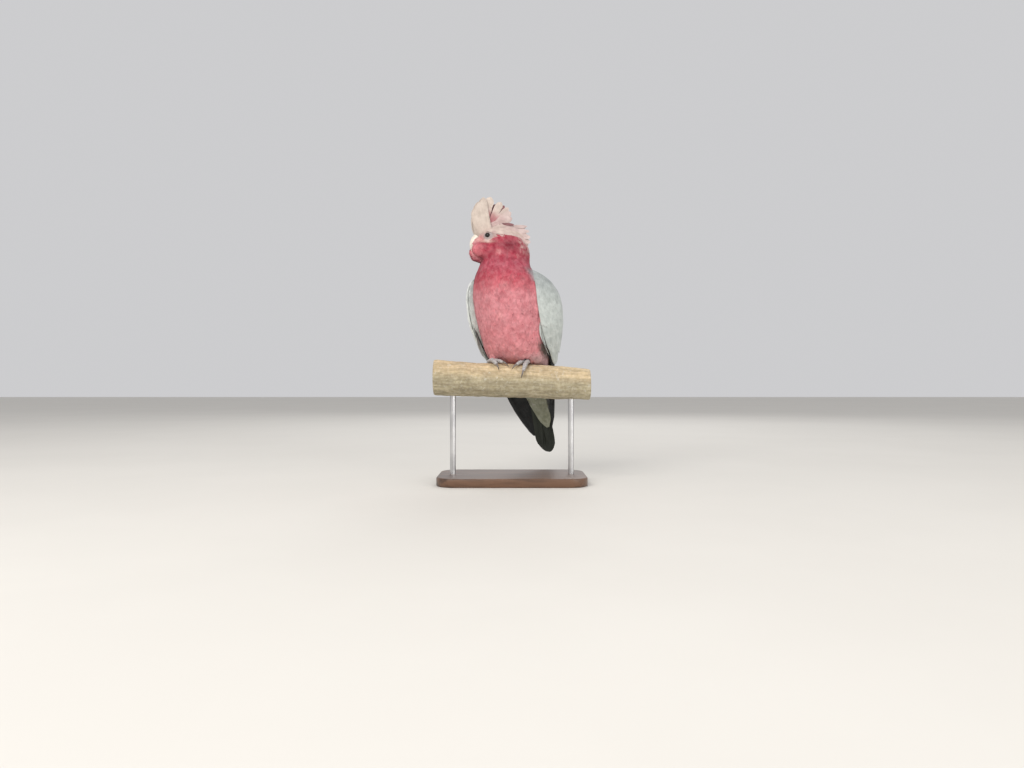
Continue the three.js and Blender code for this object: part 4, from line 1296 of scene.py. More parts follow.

# The crest and the cap. Each lock of the crest is given by its roots and tips, forward and up of the
# eyes: first in the middle of the head, then down its sides, where the feathers face outwards.
# whiteFrom is where along them their mauve ends, roll how far the sides turn outwards, in degrees,
# farBack how far the far side stands behind the near one, bow how much they bend, and shade what their
# colour is multiplied by, which on the filling is painted shade for the dark wedges between the lobes.
crestValues = {
    "sheet": {
        "blunt": 0.78,
        "roots": [(12, -2), (11.5, 2), (11, 6), (8, 10), (5, 12.5), (2, 14.5)],
        "tips": [(20.5, 20), (20, 29.5), (18.5, 39.5), (14, 48), (9.5, 52), (5, 57)],
        "sideRoots": [(8.5, -4), (8, -2), (6.5, 1), (3.5, 3), (0, 4), (-5, 5)],
        "sideTips": [(16.5, 17), (17, 28), (18.5, 38), (13.5, 46), (8.5, 50), (4.5, 54.5)],
        "rootSide": [6.5, 9, 12.3, 14.4, 15.5, 16], "tipSide": [3.5, 4.8, 6.2, 7, 7, 6.2],
        "halfWidth": [3.8, 4.3, 4.6, 4.8, 5.0, 5.0], "count": 11, "columns": 6, "whiteFrom": 0.0,
        "roll": (48, 84), "deep": 0.0, "bow": 0.15, "broad": 0.5, "shade": 1.0, "farBack": 3.0,
    },
    "lobes": {
        "blunt": 0.9,
        "roots": [(5, 14), (2, 13), (0, 13), (-2, 16), (-4, 20)],
        "tips": [(-6.0, 58.8), (-21, 50), (-32, 44.5), (-35, 37), (-36.5, 28)],
        "sideRoots": [(3, 10), (0, 9), (-2, 9), (-4, 12), (-5, 17)],
        "sideTips": [(-6.0, 57.8), (-20.5, 49), (-31.5, 43.5), (-34.5, 36), (-36, 27)],
        "rootSide": [11, 11.5, 11.5, 11.5, 11.5], "tipSide": [4.5, 5.0, 5.6, 6.2, 7.0],
        "halfWidth": [6.4, 4.9, 4.0, 4.6, 4.9], "count": 5, "columns": 2, "whiteFrom": 0.6, "roll": (88, 88),
        "deep": 1.0, "bow": 0.06, "broad": 0.86, "shade": 1.0, "farBack": 0.0,
    },
    "filling": {
        "blunt": 0.8,
        "roots": [(8, 13), (5, 14), (2, 15), (0, 16), (-4, 17)],
        "tips": [(1, 52), (-14, 49), (-26, 46), (-29, 36), (-39, 18.5)],
        "sideRoots": [(6, 11), (4, 12), (1, 13), (-1, 14), (-5, 15.5)],
        "sideTips": [(0, 50), (-14, 48), (-25.5, 45), (-28.5, 35), (-39, 18.5)],
        "rootSide": [9, 9, 9, 9.5, 10], "tipSide": [3.2, 3.4, 4.0, 4.6, 5.6],
        "halfWidth": [4.2, 4.8, 4.4, 3.2, 1.7], "count": 9, "columns": 2, "whiteFrom": 1.3, "deep": 0.0,
        "roll": (88, 88), "bow": 0.06, "broad": 0.8, "shade": 0.5, "farBack": 0.0,
    },
}


def headVanes(path, facing, width, look, shades, patch, dice):
    # vanes along paths on the head, turned to face as given at every station
    ahead = unit(np.gradient(path, axis=1))
    up = unit(facing - ahead * (facing * ahead).sum(-1, keepdims=True))
    shape = outline(np.array(look["stations"]), look["root"], look["broad"], look["tip"], 2.3)
    half = width[:, None] * shape
    grid, vane, stations, columns = spreadVanes(path, up, np.cross(ahead, up), half, look, dice, 0.03)
    back = columns**2 * half[..., None] * 0.3 * (stations > 0.6)[:, None]
    grid = grid - ahead[:, :, None] * back[..., None]
    shades = np.broadcast_to(np.clip(shades, 0, 1), grid.shape)
    return grid, up, np.full(len(path), look["thick"]), shades, vane, patch


def sideVanes(name, flat, beside, facings, half, look, shades, patch, dice, material, slot):
    # the same vanes on both sides of the head; facings tells how they face on a side, and shades
    # their colours along their paths
    for side, label in bothSides:
        path = onHead(flat[..., 0], beside * side, flat[..., 1])
        facing = np.broadcast_to(facings(side), path.shape)
        parts = headVanes(path, facing, half, look, shades(path), patch, dice)
        vanePiece(name + label, *parts, material, slot)


crestVane = {"stations": [0, 0.16, 0.32, 0.48, 0.62, 0.74, 0.84, 0.92, 0.975, 1.0], "columns": 6,
             "root": 0.4, "cup": 0.12, "thick": 0.12}


def makeCrest():
    dice = np.random.default_rng(71)
    stations = np.array(crestVane["stations"])
    t = stations[:, None]
    for name, lock in crestValues.items():
        places = [(i, c) for i in np.linspace(0, 1, lock["count"])
                  for c in np.linspace(-1, 1, lock["columns"])]
        order, column = np.array(places).T
        count = len(order)
        order = np.clip(order + dice.normal(0, 0.006, count), 0, 1)
        beside = np.abs(column)[:, None]
        root = line(lock["roots"], order) * (1 - beside) + line(lock["sideRoots"], order) * beside
        tip = line(lock["tips"], order) * (1 - beside) + line(lock["sideTips"], order) * beside
        away = np.clip(-column, 0, 1)[:, None] * np.array([lock["farBack"], 0.0])
        root, tip = root - away, tip - away
        tip = root + (tip - root) * (1 - 0.05 * dice.random(count))[:, None]
        rootSide, tipSide, roll, half = (line(lock[k], order)
                                         for k in ("rootSide", "tipSide", "roll", "halfWidth"))
        rootSide, tipSide = rootSide * column, tipSide * column
        run = tip - root
        length = np.linalg.norm(run, axis=1)
        normal = np.stack([run[:, 1], -run[:, 0]], -1) / length[:, None]
        arch = (4 * t * (1 - t)) * 0.5 * lock["bow"] * length[:, None, None] * normal[:, None]
        flat = root[:, None] + run[:, None] * t + arch
        left = rootSide[:, None] + (tipSide - rootSide)[:, None] * stations
        left = left + 4 * stations * (1 - stations) * 1.2 * column[:, None]
        path = onHead(flat[..., 0], left, flat[..., 1])
        roll = np.radians(roll) * np.sign(column) * np.abs(column) ** 0.4 + dice.normal(0, 0.06, count)
        facing = headTurned(normal[:, 0] * np.cos(roll), np.sin(roll), normal[:, 1] * np.cos(roll))
        facing = np.broadcast_to(facing[:, None], path.shape)
        half = half * (0.92 + 0.16 * dice.random(count))
        # pale tips over mauve roots, the front all cream
        tall = ease(lock["whiteFrom"] - 0.25, lock["whiteFrom"] + 0.12, stations)[:, None, None]
        sidePale = 0.85 * ease(0.5, 0.75, order) * ease(0.5, 1.0, beside[:, 0]) * lock["deep"]
        tall = np.maximum(tall, sidePale[:, None, None, None])
        low = blended(plumes["crestPink"], plumes["crestBase"], 0.3 * dice.random(count))[:, None, None]
        cream = blended(plumes["crestWhite"], plumes["capWhite"], ease(0.0, 1.0, order) * lock["deep"])
        shades = low * (1 - tall) + cream[:, None, None] * tall
        flush = 0.10 * ease(0.5, 0.0, stations)[:, None, None]
        shades = shades * (1 - flush) + plumes["crestBase"] * flush
        # each lock's shade multiplies its colour; on the filling it is painted shade for the wedges between
        # the lobes
        shades = shades * lock["shade"] * (1 + dice.normal(0, 0.025, (count, 1, 1, 1)))
        patch = np.stack([0.04 + 0.92 * order, 0.5 + 0.42 * column], -1)
        look = {**crestVane, "broad": lock["broad"], "tip": lock["blunt"]}
        parts = headVanes(path, facing, half, look, shades, patch, dice)
        vanePiece("crest_" + name, *parts, crestMaterial, "crest_feathers")


makeCrest()


farOut = 45.0  # well clear of the head's side


def besideHead(forward, up, least, lift):
    # how far out the skin's side lies there, raised by lift, and never nearer the middle than least
    places = together(forward, up, least)
    inward = Vector(headTurned(0.0, -1.0, 0.0))
    out = []
    for f, u, low in places.reshape(-1, 3).tolist():
        hit = surface.ray_cast(Vector(onHead(f, farOut, u)), inward, farOut - low)[0]
        out.append(low if hit is None else max(low, fromHead(np.array(hit))[1]))
    return np.array(out).reshape(places.shape[:-1]) + lift


# The cap lies back over each side of the crown in long soft feathers, from over the eye to lobes
# standing off the nape: the roots and tips of its topmost to its lowest line, and how far out.
capValues = {
    "roots": [(-2, 13), (-2, 12), (-1, 11), (2, 9), (2, 7.5), (-10, 7.5), (-26, 7.5), (-39, 7)],
    "tips": [(-58.5, 18.5), (-59, 15), (-59.5, 9), (-59.5, 3.5), (-58.5, -2), (-59.5, -6), (-58.5, -10),
             (-55.5, -13)],
    "least": [(2, 2), (5, 4), (10, 8), (13, 11), (15, 12), (15, 11), (14, 10), (13, 9)],
    "lines": 17, "along": [0.0, 0.09, 0.18, 0.27, 0.36, 0.43, 0.49], "length": 0.44, "halfWidth": 3.6,
    "lobes": [(0.03, 0.55), (0.27, 0.57), (0.5, 0.57), (0.72, 0.57), (0.95, 0.52)], "lobeWidth": 4.5,
}
capVane = {"stations": [0, 0.25, 0.5, 0.7, 0.85, 0.95, 1.0], "columns": 4, "root": 0.55, "tip": 0.6,
           "broad": 0.5, "cup": 0.05, "thick": 0.1}


def makeCap():
    dice = np.random.default_rng(81)
    stations = np.array(capVane["stations"])
    places = [(i, s) for i in np.linspace(0, 1, capValues["lines"]) for s in capValues["along"]]
    lobes = np.arange(len(places) + len(capValues["lobes"])) >= len(places)
    order, start = np.array(places + capValues["lobes"]).T
    count = len(order)
    start = start + dice.normal(0, 0.02, count) * ~lobes
    root, tip, least = (line(capValues[k], order) for k in ("roots", "tips", "least"))
    reach = capValues["length"] * (0.9 + 0.2 * dice.random(count)) * np.where(lobes, 1.0, 0.93)
    share = np.clip(start[:, None] + reach[:, None] * stations, 0, 1.0)
    flat = root[:, None] + (tip - root)[:, None] * share[..., None]
    flat[..., 1] = flat[..., 1] + 0.8 * np.sin(math.pi * share) * (1 - order)[:, None]
    low = least[:, :1] + (least[:, 1:] - least[:, :1]) * share
    lift = 0.9 + 0.5 * stations + 0.3 * start[:, None] + 0.6 * lobes[:, None] * stations
    beside = besideHead(flat[..., 0], flat[..., 1], low, lift)
    half = capValues["halfWidth"] * (0.9 + 0.3 * start) * (0.9 + 0.2 * dice.random(count))
    half = np.where(lobes, capValues["lobeWidth"], half)
    pale = blended(plumes["cap"], plumes["capWhite"], ease(0.6, 1.0, start + reach * 0.9))
    pale = blended(pale, plumes["crestWhite"], 0.6 * ease(0.25, 0.0, start))[:, None, None]
    dusky = 0.4 * ease(0.5, 0.8, order) * ease(0.25, 0.5, start) * ~lobes
    pale = blended(pale, plumes["crestBase"], dusky[:, None, None])
    rim = ease(0.75, 1.0, stations)[:, None, None] * 0.6 * (1 - dusky)[:, None, None, None]
    shades = pale * (1 - rim) + plumes["capWhite"] * rim
    root = ease(0.35, 0.0, stations)[:, None, None] * 0.35 * ease(0.1, 0.3, start)[:, None, None, None]
    shades = shades * (1 - root) + plumes["crestBase"] * root
    shades = shades * (1 + dice.normal(0, 0.03, (count, 1, 1, 1)))
    lying = (1 - order) * 0.9
    patch = 0.04 + 0.92 * np.stack([start, order], -1)
    sideVanes("cap_feathers_", flat, beside,
              lambda side: headTurned(0 * order, np.cos(lying) * side, np.sin(lying))[:, None],
              half, capVane, lambda path: shades, patch, dice, crestMaterial, "crest_feathers")


makeCap()


# Feathers of the lores and cheeks, lying forward over the sides of the bill: roots and tips, forward
# and up, from the lores down to the chin, and how far out.
muzzleValues = {
    "roots": [(7, 1), (5, -5), (3, -11), (3, -17), (5, -23), (5, -29), (3, -33)],
    "tips": [(17, -4), (19.5, -8.5), (20.5, -14.5), (21.5, -20), (21, -25.5), (18, -31), (9, -34)],
    "rootSide": [10.5, 12.5, 13.5, 14, 13, 10, 6], "tipSide": [7.4, 8.6, 9.0, 8.8, 7.4, 4.0, 2.0],
    "lines": 44, "along": 15, "length": 0.34, "halfWidth": 0.62, "tipShade": np.array([1.0, 0.88, 0.86]),
}
muzzleVane = {**smallVane, "root": 0.6, "broad": 0.5, "tip": 0.45, "cup": 0.1, "thick": 0.06}


def makeMuzzle():
    dice = np.random.default_rng(91)
    stations = np.array(muzzleVane["stations"])
    lines, along = muzzleValues["lines"], muzzleValues["along"]
    places = np.array([(i, s) for i in np.linspace(0, 1, lines) for s in np.linspace(0, 0.72, along)])
    count = len(places)
    order = np.clip(places[:, 0] + dice.normal(0, 0.012, count), 0, 1)
    start = np.clip(places[:, 1] + dice.normal(0, 0.03, count), 0, 0.74)
    root, tip, rootSide, tipSide = (line(muzzleValues[k], order)
                                    for k in ("roots", "tips", "rootSide", "tipSide"))
    reach = muzzleValues["length"] * (0.8 + 0.3 * dice.random(count))
    share = start[:, None] + reach[:, None] * stations
    flat = root[:, None] + (tip - root)[:, None] * share[..., None]
    beside = rootSide[:, None] + (tipSide - rootSide)[:, None] * share
    beside = beside + 1.6 * np.sin(math.pi * np.clip(share, 0, 1))
    beside = beside - 0.1 + 0.5 * stations + dice.normal(0, 0.06, count)[:, None]
    half = muzzleValues["halfWidth"] * (0.8 + 0.4 * dice.random(count))
    pale = ease(0.5, 1.0, stations)[:, None, None] * 0.18

    def shades(path):
        shade = markings(path[:, -2])[:, None, None] * (1 + dice.normal(0, 0.05, (count, 1, 1, 1)))
        return shade * (1 - pale) + muzzleValues["tipShade"] * pale

    sideVanes("muzzle_feathers_", flat, beside, lambda side: headTurned(0.35, side * 1.0, 0.0), half,
              muzzleVane, shades, 0.04 + 0.92 * np.stack([start, order], -1), dice, downMaterial,
              "rose_feathers")


makeMuzzle()


def closeEnds(rows, columns, flip=False):
    # quads of a tube with a fan of triangles over each end; the end points come last
    last = rows * columns
    start = [(j, last, (j + 1) % columns) for j in range(columns)]
    end = [(last - columns + j, last - columns + (j + 1) % columns, last + 1) for j in range(columns)]
    parts = [gridFaces(rows, columns), np.array(start + end)]
    return [part[:, ::-1] for part in parts] if flip else parts


def withEnds(grid, first, last):
    # the points of a tube's rings, or what goes with them, then its two end points
    return np.concatenate([grid.reshape(-1, grid.shape[-1]), [first], [last]])


def tube(middle, across, upward, widths, depths, columns, square):
    # rings along a line: middle, across and upward are rows x 3
    turn = roundTurn(columns)
    c = np.sign(np.cos(turn)) * np.abs(np.cos(turn)) ** (2 / square)
    s = np.sign(np.sin(turn)) * np.abs(np.sin(turn)) ** (2 / square)
    ring = (across[:, None] * (widths[:, None] * c)[..., None]
            + upward[:, None] * (depths[:, None] * s)[..., None])
    return middle[:, None] + ring


def growthUv(shares, columns):
    # along the horn and round it
    return withEnds(together(shares[:, None], roundTurn(columns)[None] / 20), [0, 0], [1, 0])


def evenly(curve, shares):
    # the same curve walked at an even pace
    fine = np.linspace(0, 1, 241)
    places = curve(fine)
    run = np.concatenate([[0], np.cumsum(np.linalg.norm(np.diff(places, axis=0), axis=1))])
    return np.interp(shares * run[-1], run, fine)


def domed(shares):
    return np.sqrt(np.clip(1 - np.abs(2 * shares - 1) ** 8, 0, 1))


# The eyes: a ball with pupil and iris under a clear front, and a wrinkled bare ring of lid round it.
eyeValues = {"radius": 5.2, "across": 15.6, "tiltForward": 0.40, "tiltUp": 0.06, "pupil": 17.0,
             "iris": 37.0, "cornea": 0.28, "openWide": 3.3, "openTall": 2.85, "ringWide": 6.4,
             "ringTall": 5.0, "folds": 3.0, "ballRows": 30, "ballColumns": 48, "lidRows": 26,
             "lidColumns": 72}


def eyeAxes(side):
    # outwards, forwards and upwards of one eye, in the bird's frame
    out = unit(headTurned(eyeValues["tiltForward"], side * 1.0, eyeValues["tiltUp"]))
    ahead = headTurned(1.0, 0.0, 0.0)
    ahead = unit(ahead - out * (ahead * out).sum())
    return out, ahead, np.cross(ahead, out) * side


def eyeGloss():
    pen = Finish("eye", Coat_Weight=1.0, Coat_Roughness=0.02, Coat_IOR=1.34, Specular_IOR_Level=0.1)
    ball = pen.unwrap("iris")
    split = pen.node("SeparateXYZ", {0: ball}).outputs
    fibres = pen.cloud(pen.stretch(ball, (40.0, 4.0, 1.0)), 2.0, 4.0)
    brown = pen.mix(pen.spread(fibres, 0.3, 0.7), (0.008, 0.0045, 0.003, 1), (0.026, 0.013, 0.008, 1))
    rim = pen.spread(split[1], eyeValues["iris"] - 7, eyeValues["iris"])
    iris = pen.mix(rim, brown, (0.012, 0.008, 0.007, 1))
    pupil = pen.spread(split[1], eyeValues["pupil"], eyeValues["pupil"] + 2)
    shade = pen.mix(pupil, (0.002, 0.002, 0.002, 1), iris)
    return pen.done(shade, fibres, 0.08, 0.0001, fibres, 0, 1, 0.1, 0.2)


def scalySkin(name, specular, scale, crease, rough, smoother):
    pen = Finish(name, Specular_IOR_Level=specular)
    drawn = pen.group(scales, Colour=pen.plumage(), Place=pen.place(), Scale=scale, Crease=crease)
    return pen.done(drawn["Colour"], drawn["Height"], 0.6, 0.0002, drawn["Height"], 0.0, 1.0, rough, smoother)


eyeMaterial, lidMaterial = eyeGloss(), scalySkin("eye_ring_skin", 0.35, 1300.0, 0.3, 0.62, 0.45)
lidShades = tints(ring="cdbfbd", deep="8d7a78", margin="3d3230", edge="a8908e")


def makeEye(side, label):
    out, ahead, above = eyeAxes(side)
    centre = onHead(0.0, side * eyeValues["across"], 0.0)
    radius, cornea = eyeValues["radius"], eyeValues["cornea"]
    rows, columns = eyeValues["ballRows"], eyeValues["ballColumns"]
    angle = np.linspace(0, 150, rows + 1)[1:]
    turn = roundTurn(columns)
    reach = radius + cornea * np.exp(-((angle / 30) ** 2))
    around = ahead * np.cos(turn)[:, None] + above * np.sin(turn)[:, None]
    a = np.radians(angle)[:, None, None]
    grid = centre + reach[:, None, None] * (out * np.cos(a) + around[None] * np.sin(a))
    points = withEnds(grid, centre + out * (radius + cornea), centre - out * radius)
    uv = withEnds(together(turn[None] / (2 * math.pi), angle[:, None]), [0.5, 0.0], [0.5, 180.0])
    ball = makePiece("eyeball_" + label, points, closeEnds(rows, columns, side > 0), eyeMaterial,
                     {"iris": uv})
    keep(ball, "eye", "eye_" + label)


def makeLids(side, label):
    # the lids and the ring: from behind the margin, over it and out over the folds to the feathers
    out, ahead, above = eyeAxes(side)
    centre = onHead(0.0, side * eyeValues["across"], 0.0)
    steps, columns = eyeValues["lidRows"], eyeValues["lidColumns"]
    turn = roundTurn(columns)
    around = ahead * np.cos(turn)[:, None] + above * np.sin(turn)[:, None]
    droop = 0.25 * np.sin(turn) * np.abs(np.cos(turn))
    inner = 1 / np.hypot(np.cos(turn) / eyeValues["openWide"], np.sin(turn) / eyeValues["openTall"])
    outer = 1 / np.hypot(np.cos(turn) / eyeValues["ringWide"], np.sin(turn) / eyeValues["ringTall"]) + 0.9
    marginHeight = np.sqrt(eyeValues["radius"] ** 2 - inner**2) + 0.12
    hidden = []
    for k in range(columns):
        start = centre + around[k] * outer[k] + out * 14
        hit = surface.ray_cast(Vector(start), Vector(-out), 20.0)[0]
        hidden.append((np.array(hit) - centre) @ out if hit is not None else 2.0)
    hidden = np.array(hidden) + 0.1
    t = np.linspace(0, 1, steps)[:, None]
    reach = inner * 0.93 + (outer - inner * 0.93) * t
    roll = np.exp(-(((t - 0.13) / 0.09) ** 2)) * 0.75
    tucked = 0.9 * (1 - ease(0.02, 0.16, t))
    slope = marginHeight * (1 - ease(0.1, 1.0, t)) + hidden * ease(0.1, 1.0, t)
    folds = 0.17 * np.cos(2 * math.pi * eyeValues["folds"] * (t - 0.13) + 0.5 * np.sin(3 * turn)[None])
    spots = together(np.cos(turn)[None] * (1 + t) * 3, np.sin(turn)[None] * (1 + t) * 3, t * 4)
    lumps = cloudy(spots, 0.8, side)
    folds = folds * (0.7 + 1.2 * lumps) * ease(0.12, 0.3, t) * ease(1.0, 0.75, t)
    beads = (0.05 * np.cos(22 * turn + 2 * lumps) + 0.16 * lumps) * ease(0.2, 0.4, t) * ease(0.95, 0.7, t)
    brow = 0.35 * np.clip(np.sin(turn), 0, 1)[None] * np.exp(-(((t - 0.34) / 0.12) ** 2))
    height = slope + roll - tucked + folds + beads + brow
    places = centre + (around[None] * reach[..., None] + out * height[..., None])
    places = places + above * (droop * 0.2)[:, None]
    groove = ease(0.04, -0.12, folds + beads)
    shade = blended(lidShades["ring"], lidShades["deep"], np.clip(0.8 * groove, 0, 1))
    shade = blended(shade, lidShades["margin"], ease(0.17, 0.06, t))
    shade = blended(shade, lidShades["edge"], ease(0.7, 0.95, t))
    faces = gridFaces(steps, columns)
    ring = makePiece("eye_ring_" + label, places.reshape(-1, 3), [faces[:, ::-1] if side > 0 else faces],
                     lidMaterial, plumage=shade.reshape(-1, 3))
    keep(ring, "foot_skin")


for side, label in bothSides:
    makeEye(side, label)
    makeLids(side, label)
print("eyes and lids made")


# The bill: both jaws, with the culmen's ridge, the notch of the cutting edge and the nostrils.
upperLine = smoothTable([(2, -1), (10.5, -1.5), (15.2, -7), (16.2, -14), (15, -21), (12.6, -26.5)])
upperSections = smoothTable([(7, 6.4), (7.6, 6.6), (7.2, 6.2), (5.8, 5), (3.6, 3.2), (1.1, 0.9)])
lowerLine = smoothTable([(-1, -17.5), (5, -20), (9.6, -23.5), (11, -28)])
lowerSections = smoothTable([(4, 5.2), (3.6, 5.4), (2.6, 4.4), (1.2, 2.2)])
hornShades = tints(horn="ece3d4", cere="b9aea8", tip="c9bfb1", edge="a59a8c",
              nostril="2a2322")
billValues = {"rows": 44, "columns": 48, "square": 2.25, "inset": 0.97, "nostril": (9.2, 3.2, 3.9)}


def hornGloss():
    pen = Finish("bill_horn", Coat_Weight=0.25, Coat_Roughness=0.25, Specular_IOR_Level=0.5)
    marked = pen.group(mottle, Colour=pen.plumage(), Place=pen.place(), Scale=260.0, Amount=0.18)
    drawn = pen.group(grain, Light=marked["Colour"], Dark=(0.42, 0.36, 0.29, 1), Place=pen.unwrap("growth"),
                      Fibres=34.0, Contrast=0.28)
    return pen.done(drawn["Colour"], drawn["Height"], 0.3, 0.0002, drawn["Height"], 0, 1, 0.5, 0.34)


hornMaterial = hornGloss()


def makeBill(name, middleLine, sections, node, upper):
    rows, columns, inset = billValues["rows"], billValues["columns"], billValues["inset"]
    shares = gathered(0.02, 1, rows)
    at = evenly(middleLine, shares)
    flat, sizes = middleLine(at), sections(at)
    onward = unit(middleLine(np.clip(at + 0.01, 0, 1)) - middleLine(np.clip(at - 0.01, 0, 1)))
    middle = onHead(flat[:, 0], 0.0, flat[:, 1])
    outward = headTurned(-onward[:, 1], 0.0, onward[:, 0])  # out over the culmen
    sideways = np.broadcast_to(headTurned(0.0, 1.0, 0.0), outward.shape)
    dome = domed(shares)[:, None]
    depths, widths = (sizes * dome).T
    grid = tube(middle, sideways, outward, widths * inset, depths * inset, columns, billValues["square"])
    ridge = np.sin(roundTurn(columns))[None] * (1 if upper else -1)
    culmen = np.clip(ridge, 0, 1) ** 6 * 0.35 - np.exp(-(((ridge - 0.82) / 0.12) ** 2)) * 0.22
    cutting = np.exp(-(((ridge + 0.72) / 0.1) ** 2)) * 0.25
    growth = 0.05 * np.sin(shares[:, None] * 75)
    out = unit(grid - middle[:, None])
    swell = (culmen - cutting + growth) * np.clip(depths / 5, 0.15, 1)[:, None]
    grid = grid + out * swell[..., None]
    shade = blended(hornShades["horn"], hornShades["tip"], ease(0.6, 1.0, shares)[:, None])
    shade = blended(shade, hornShades["edge"], np.clip(cutting * 2.4, 0, 0.8))
    if upper:
        cere = ease(0.16, 0.11, shares)[:, None] * np.ones(columns)
        shade = blended(shade, hornShades["cere"], cere)
        grid = grid + out * (0.3 * cere)[..., None]
        for side, _ in bothSides:
            forward, left, up = billValues["nostril"]
            near = np.linalg.norm(grid - onHead(forward, side * left, up), axis=-1)
            # each nostril is dented and painted near black: painted shade in its opening
            hole = np.exp(-((near / 1.3) ** 2))
            grid = grid - out * (1.2 * hole)[..., None]
            shade = blended(shade, hornShades["nostril"], np.clip(1.6 * hole, 0, 1))
    piece = makePiece(name, withEnds(grid, middle[0], middle[-1]), closeEnds(rows, columns), hornMaterial,
                      {"growth": growthUv(shares, columns)}, withEnds(shade, shade[0, 0], shade[-1, 0]))
    keep(piece, "bill_horn", node)


makeBill("bill_upper_horn", upperLine, upperSections, "bill_upper", True)
makeBill("bill_lower_horn", lowerLine, lowerSections, "bill_lower", False)
print("bill made")


def weatheredBark():
    pen = Finish("weathered_bark", Specular_IOR_Level=0.2)
    place = pen.place()
    marked = pen.group(mottle, Colour=pen.plumage(), Place=place, Scale=260.0, Amount=0.16)
    drawn = pen.group(grain, Light=marked["Colour"], Dark=(0.16, 0.125, 0.08, 1), Place=place, Fibres=700.0,
                      Contrast=0.42)
    pits = pen.cloud(place, 620.0, 4.0, 0.7)
    lichen = pen.spread(pen.cloud(place, 170.0, 5.0, 0.75), 0.56, 0.66)
    shade = pen.mix(pen.math("MULTIPLY", lichen, 0.45), drawn["Colour"], (0.62, 0.6, 0.52, 1))
    spots = pen.mix(pen.math("MULTIPLY", pen.spread(pits, 0.6, 0.75), 0.5), shade, (0.1, 0.08, 0.055, 1))
    height = pen.math("MULTIPLY_ADD", pits, 0.7, drawn["Height"])
    return pen.done(spots, height, 0.85, 0.0006, drawn["Crack"], 0.0, 1.0, 0.82, 0.95)


# top, side and under follow which way the bark faces: partly its own weathered tone, partly painted light
# from above and painted bounce light on the underside
barkShades = tints(top="d4bd96", side="a99e80", under="c3b899",
              cutPale="c9a981", cutDark="a37f57")


def makePerch():
    rows, columns = perchValues["rows"], perchValues["columns"]
    halfLength = perchValues["halfLength"]
    x, turn = np.linspace(-halfLength, halfLength, rows), roundTurn(columns)
    places = onPerch(x[:, None], turn[None], 0.0)
    long = places * np.array([0.16, 1.0, 1.0])
    rough = 0.5 * cloudy(long, 3.2) + 0.35 * cloudy(long, 1.3, 3.0) + 0.5 * cloudy(places, 9.0, 5.0)
    worn = 0.9 * np.exp(-np.minimum(x + halfLength, halfLength - x) / 1.4)
    grid = onPerch(x[:, None], turn[None], np.clip(rough, -1, 0.6) - 0.55 - worn[:, None])
    # paler, pinker top and an underside paler than the sides: partly the bark's weathered tone, partly
    # painted light from above and painted bounce light from below
    facing = np.cos(turn - 0.35)
    shade = blended(barkShades["under"], barkShades["side"], ease(-0.9, 0.1, facing))
    shade = blended(shade, barkShades["top"], ease(0.25, 0.85, facing))[None]
    shade = shade * (1 + 0.32 * np.clip(rough, -0.6, 0.4))[..., None]
    caps, capShades = [], []
    for end in (0, rows - 1):
        # the cut end, ring by ring towards its middle
        core = np.array([x[end], *perchAxis(x[end])])
        rings, ringShades = [], []
        for share in perchValues["endRings"]:
            ring = core + (grid[end] - core) * share
            ring[:, 0] = x[end] + 0.12 * cloudy(ring, 1.5)
            rings.append(ring)
            banded = 0.5 + 0.5 * math.sin(17 * share + end)
            wood = blended(barkShades["cutPale"], barkShades["cutDark"], banded)
            ringShades.append(np.broadcast_to(wood * (1.0 if len(rings) > 1 else 0.75), (columns, 3)))
        caps.append(np.array(rings))
        capShades.append(np.array(ringShades))
    whole = np.concatenate([caps[0][::-1], grid, caps[1]])
    shades = np.concatenate([capShades[0][::-1], shade, capShades[1]])
    points = withEnds(whole, caps[0][-1].mean(0), caps[1][-1].mean(0))
    piece = makePiece("perch_bark", points, closeEnds(len(whole), columns), weatheredBark(),
                      plumage=withEnds(shades, shades[0, 0], shades[-1, 0]), bird=False)
    keep(piece, "bark", "perch")


makePerch()
print("perch made")


# The feet: four scaly toes each, joined into one skin, with a claw at the end of each toe.
feetValues = {
    "left": [((24, -8), (15, 62), 3.7, 11), ((22, -6), (6, 38), 3.3, 9), ((26, 2), (36, -68), 3.6, 11),
             ((23, 0), (14, -46), 3.2, 9)],
    "right": [((-30, -8), (-21, 40), 3.7, 9), ((-27, -6), (-12, 27), 3.3, 8), ((-29, 2), (-38, -66), 3.6, 11),
              ((-26, 0), (-18, -46), 3.2, 9)],
    "taper": 0.16, "padDepth": 0.08, "pads": 3, "clawStart": 0.94, "clawRadius": 2.0, "clawTip": 0.55,
    "clawArch": 2.2, "voxel": 0.42, "scutes": 11, "inset": 0.97, "toeRows": 40, "toeColumns": 24,
    "clawRows": 26, "clawColumns": 20,
}
footShades = tints(plate="c8c5c4", crease="5b5350", sole="a7a09c",
              claw="8a817b", clawTip="4a423f")


def onToe(spec, share, lift):
    (x0, turn0), (x1, turn1) = spec[:2]
    return onPerch(x0 + (x1 - x0) * share, np.radians(turn0 + (turn1 - turn0) * share), 0.35 + lift)


def toeFrame(middle):
    # sideways and upwards along a toe or a claw
    ahead = unit(np.gradient(middle, axis=0))
    side = unit(np.cross(ahead, np.array([1.0, 0.0, 0.2])))
    return side, np.cross(side, ahead)


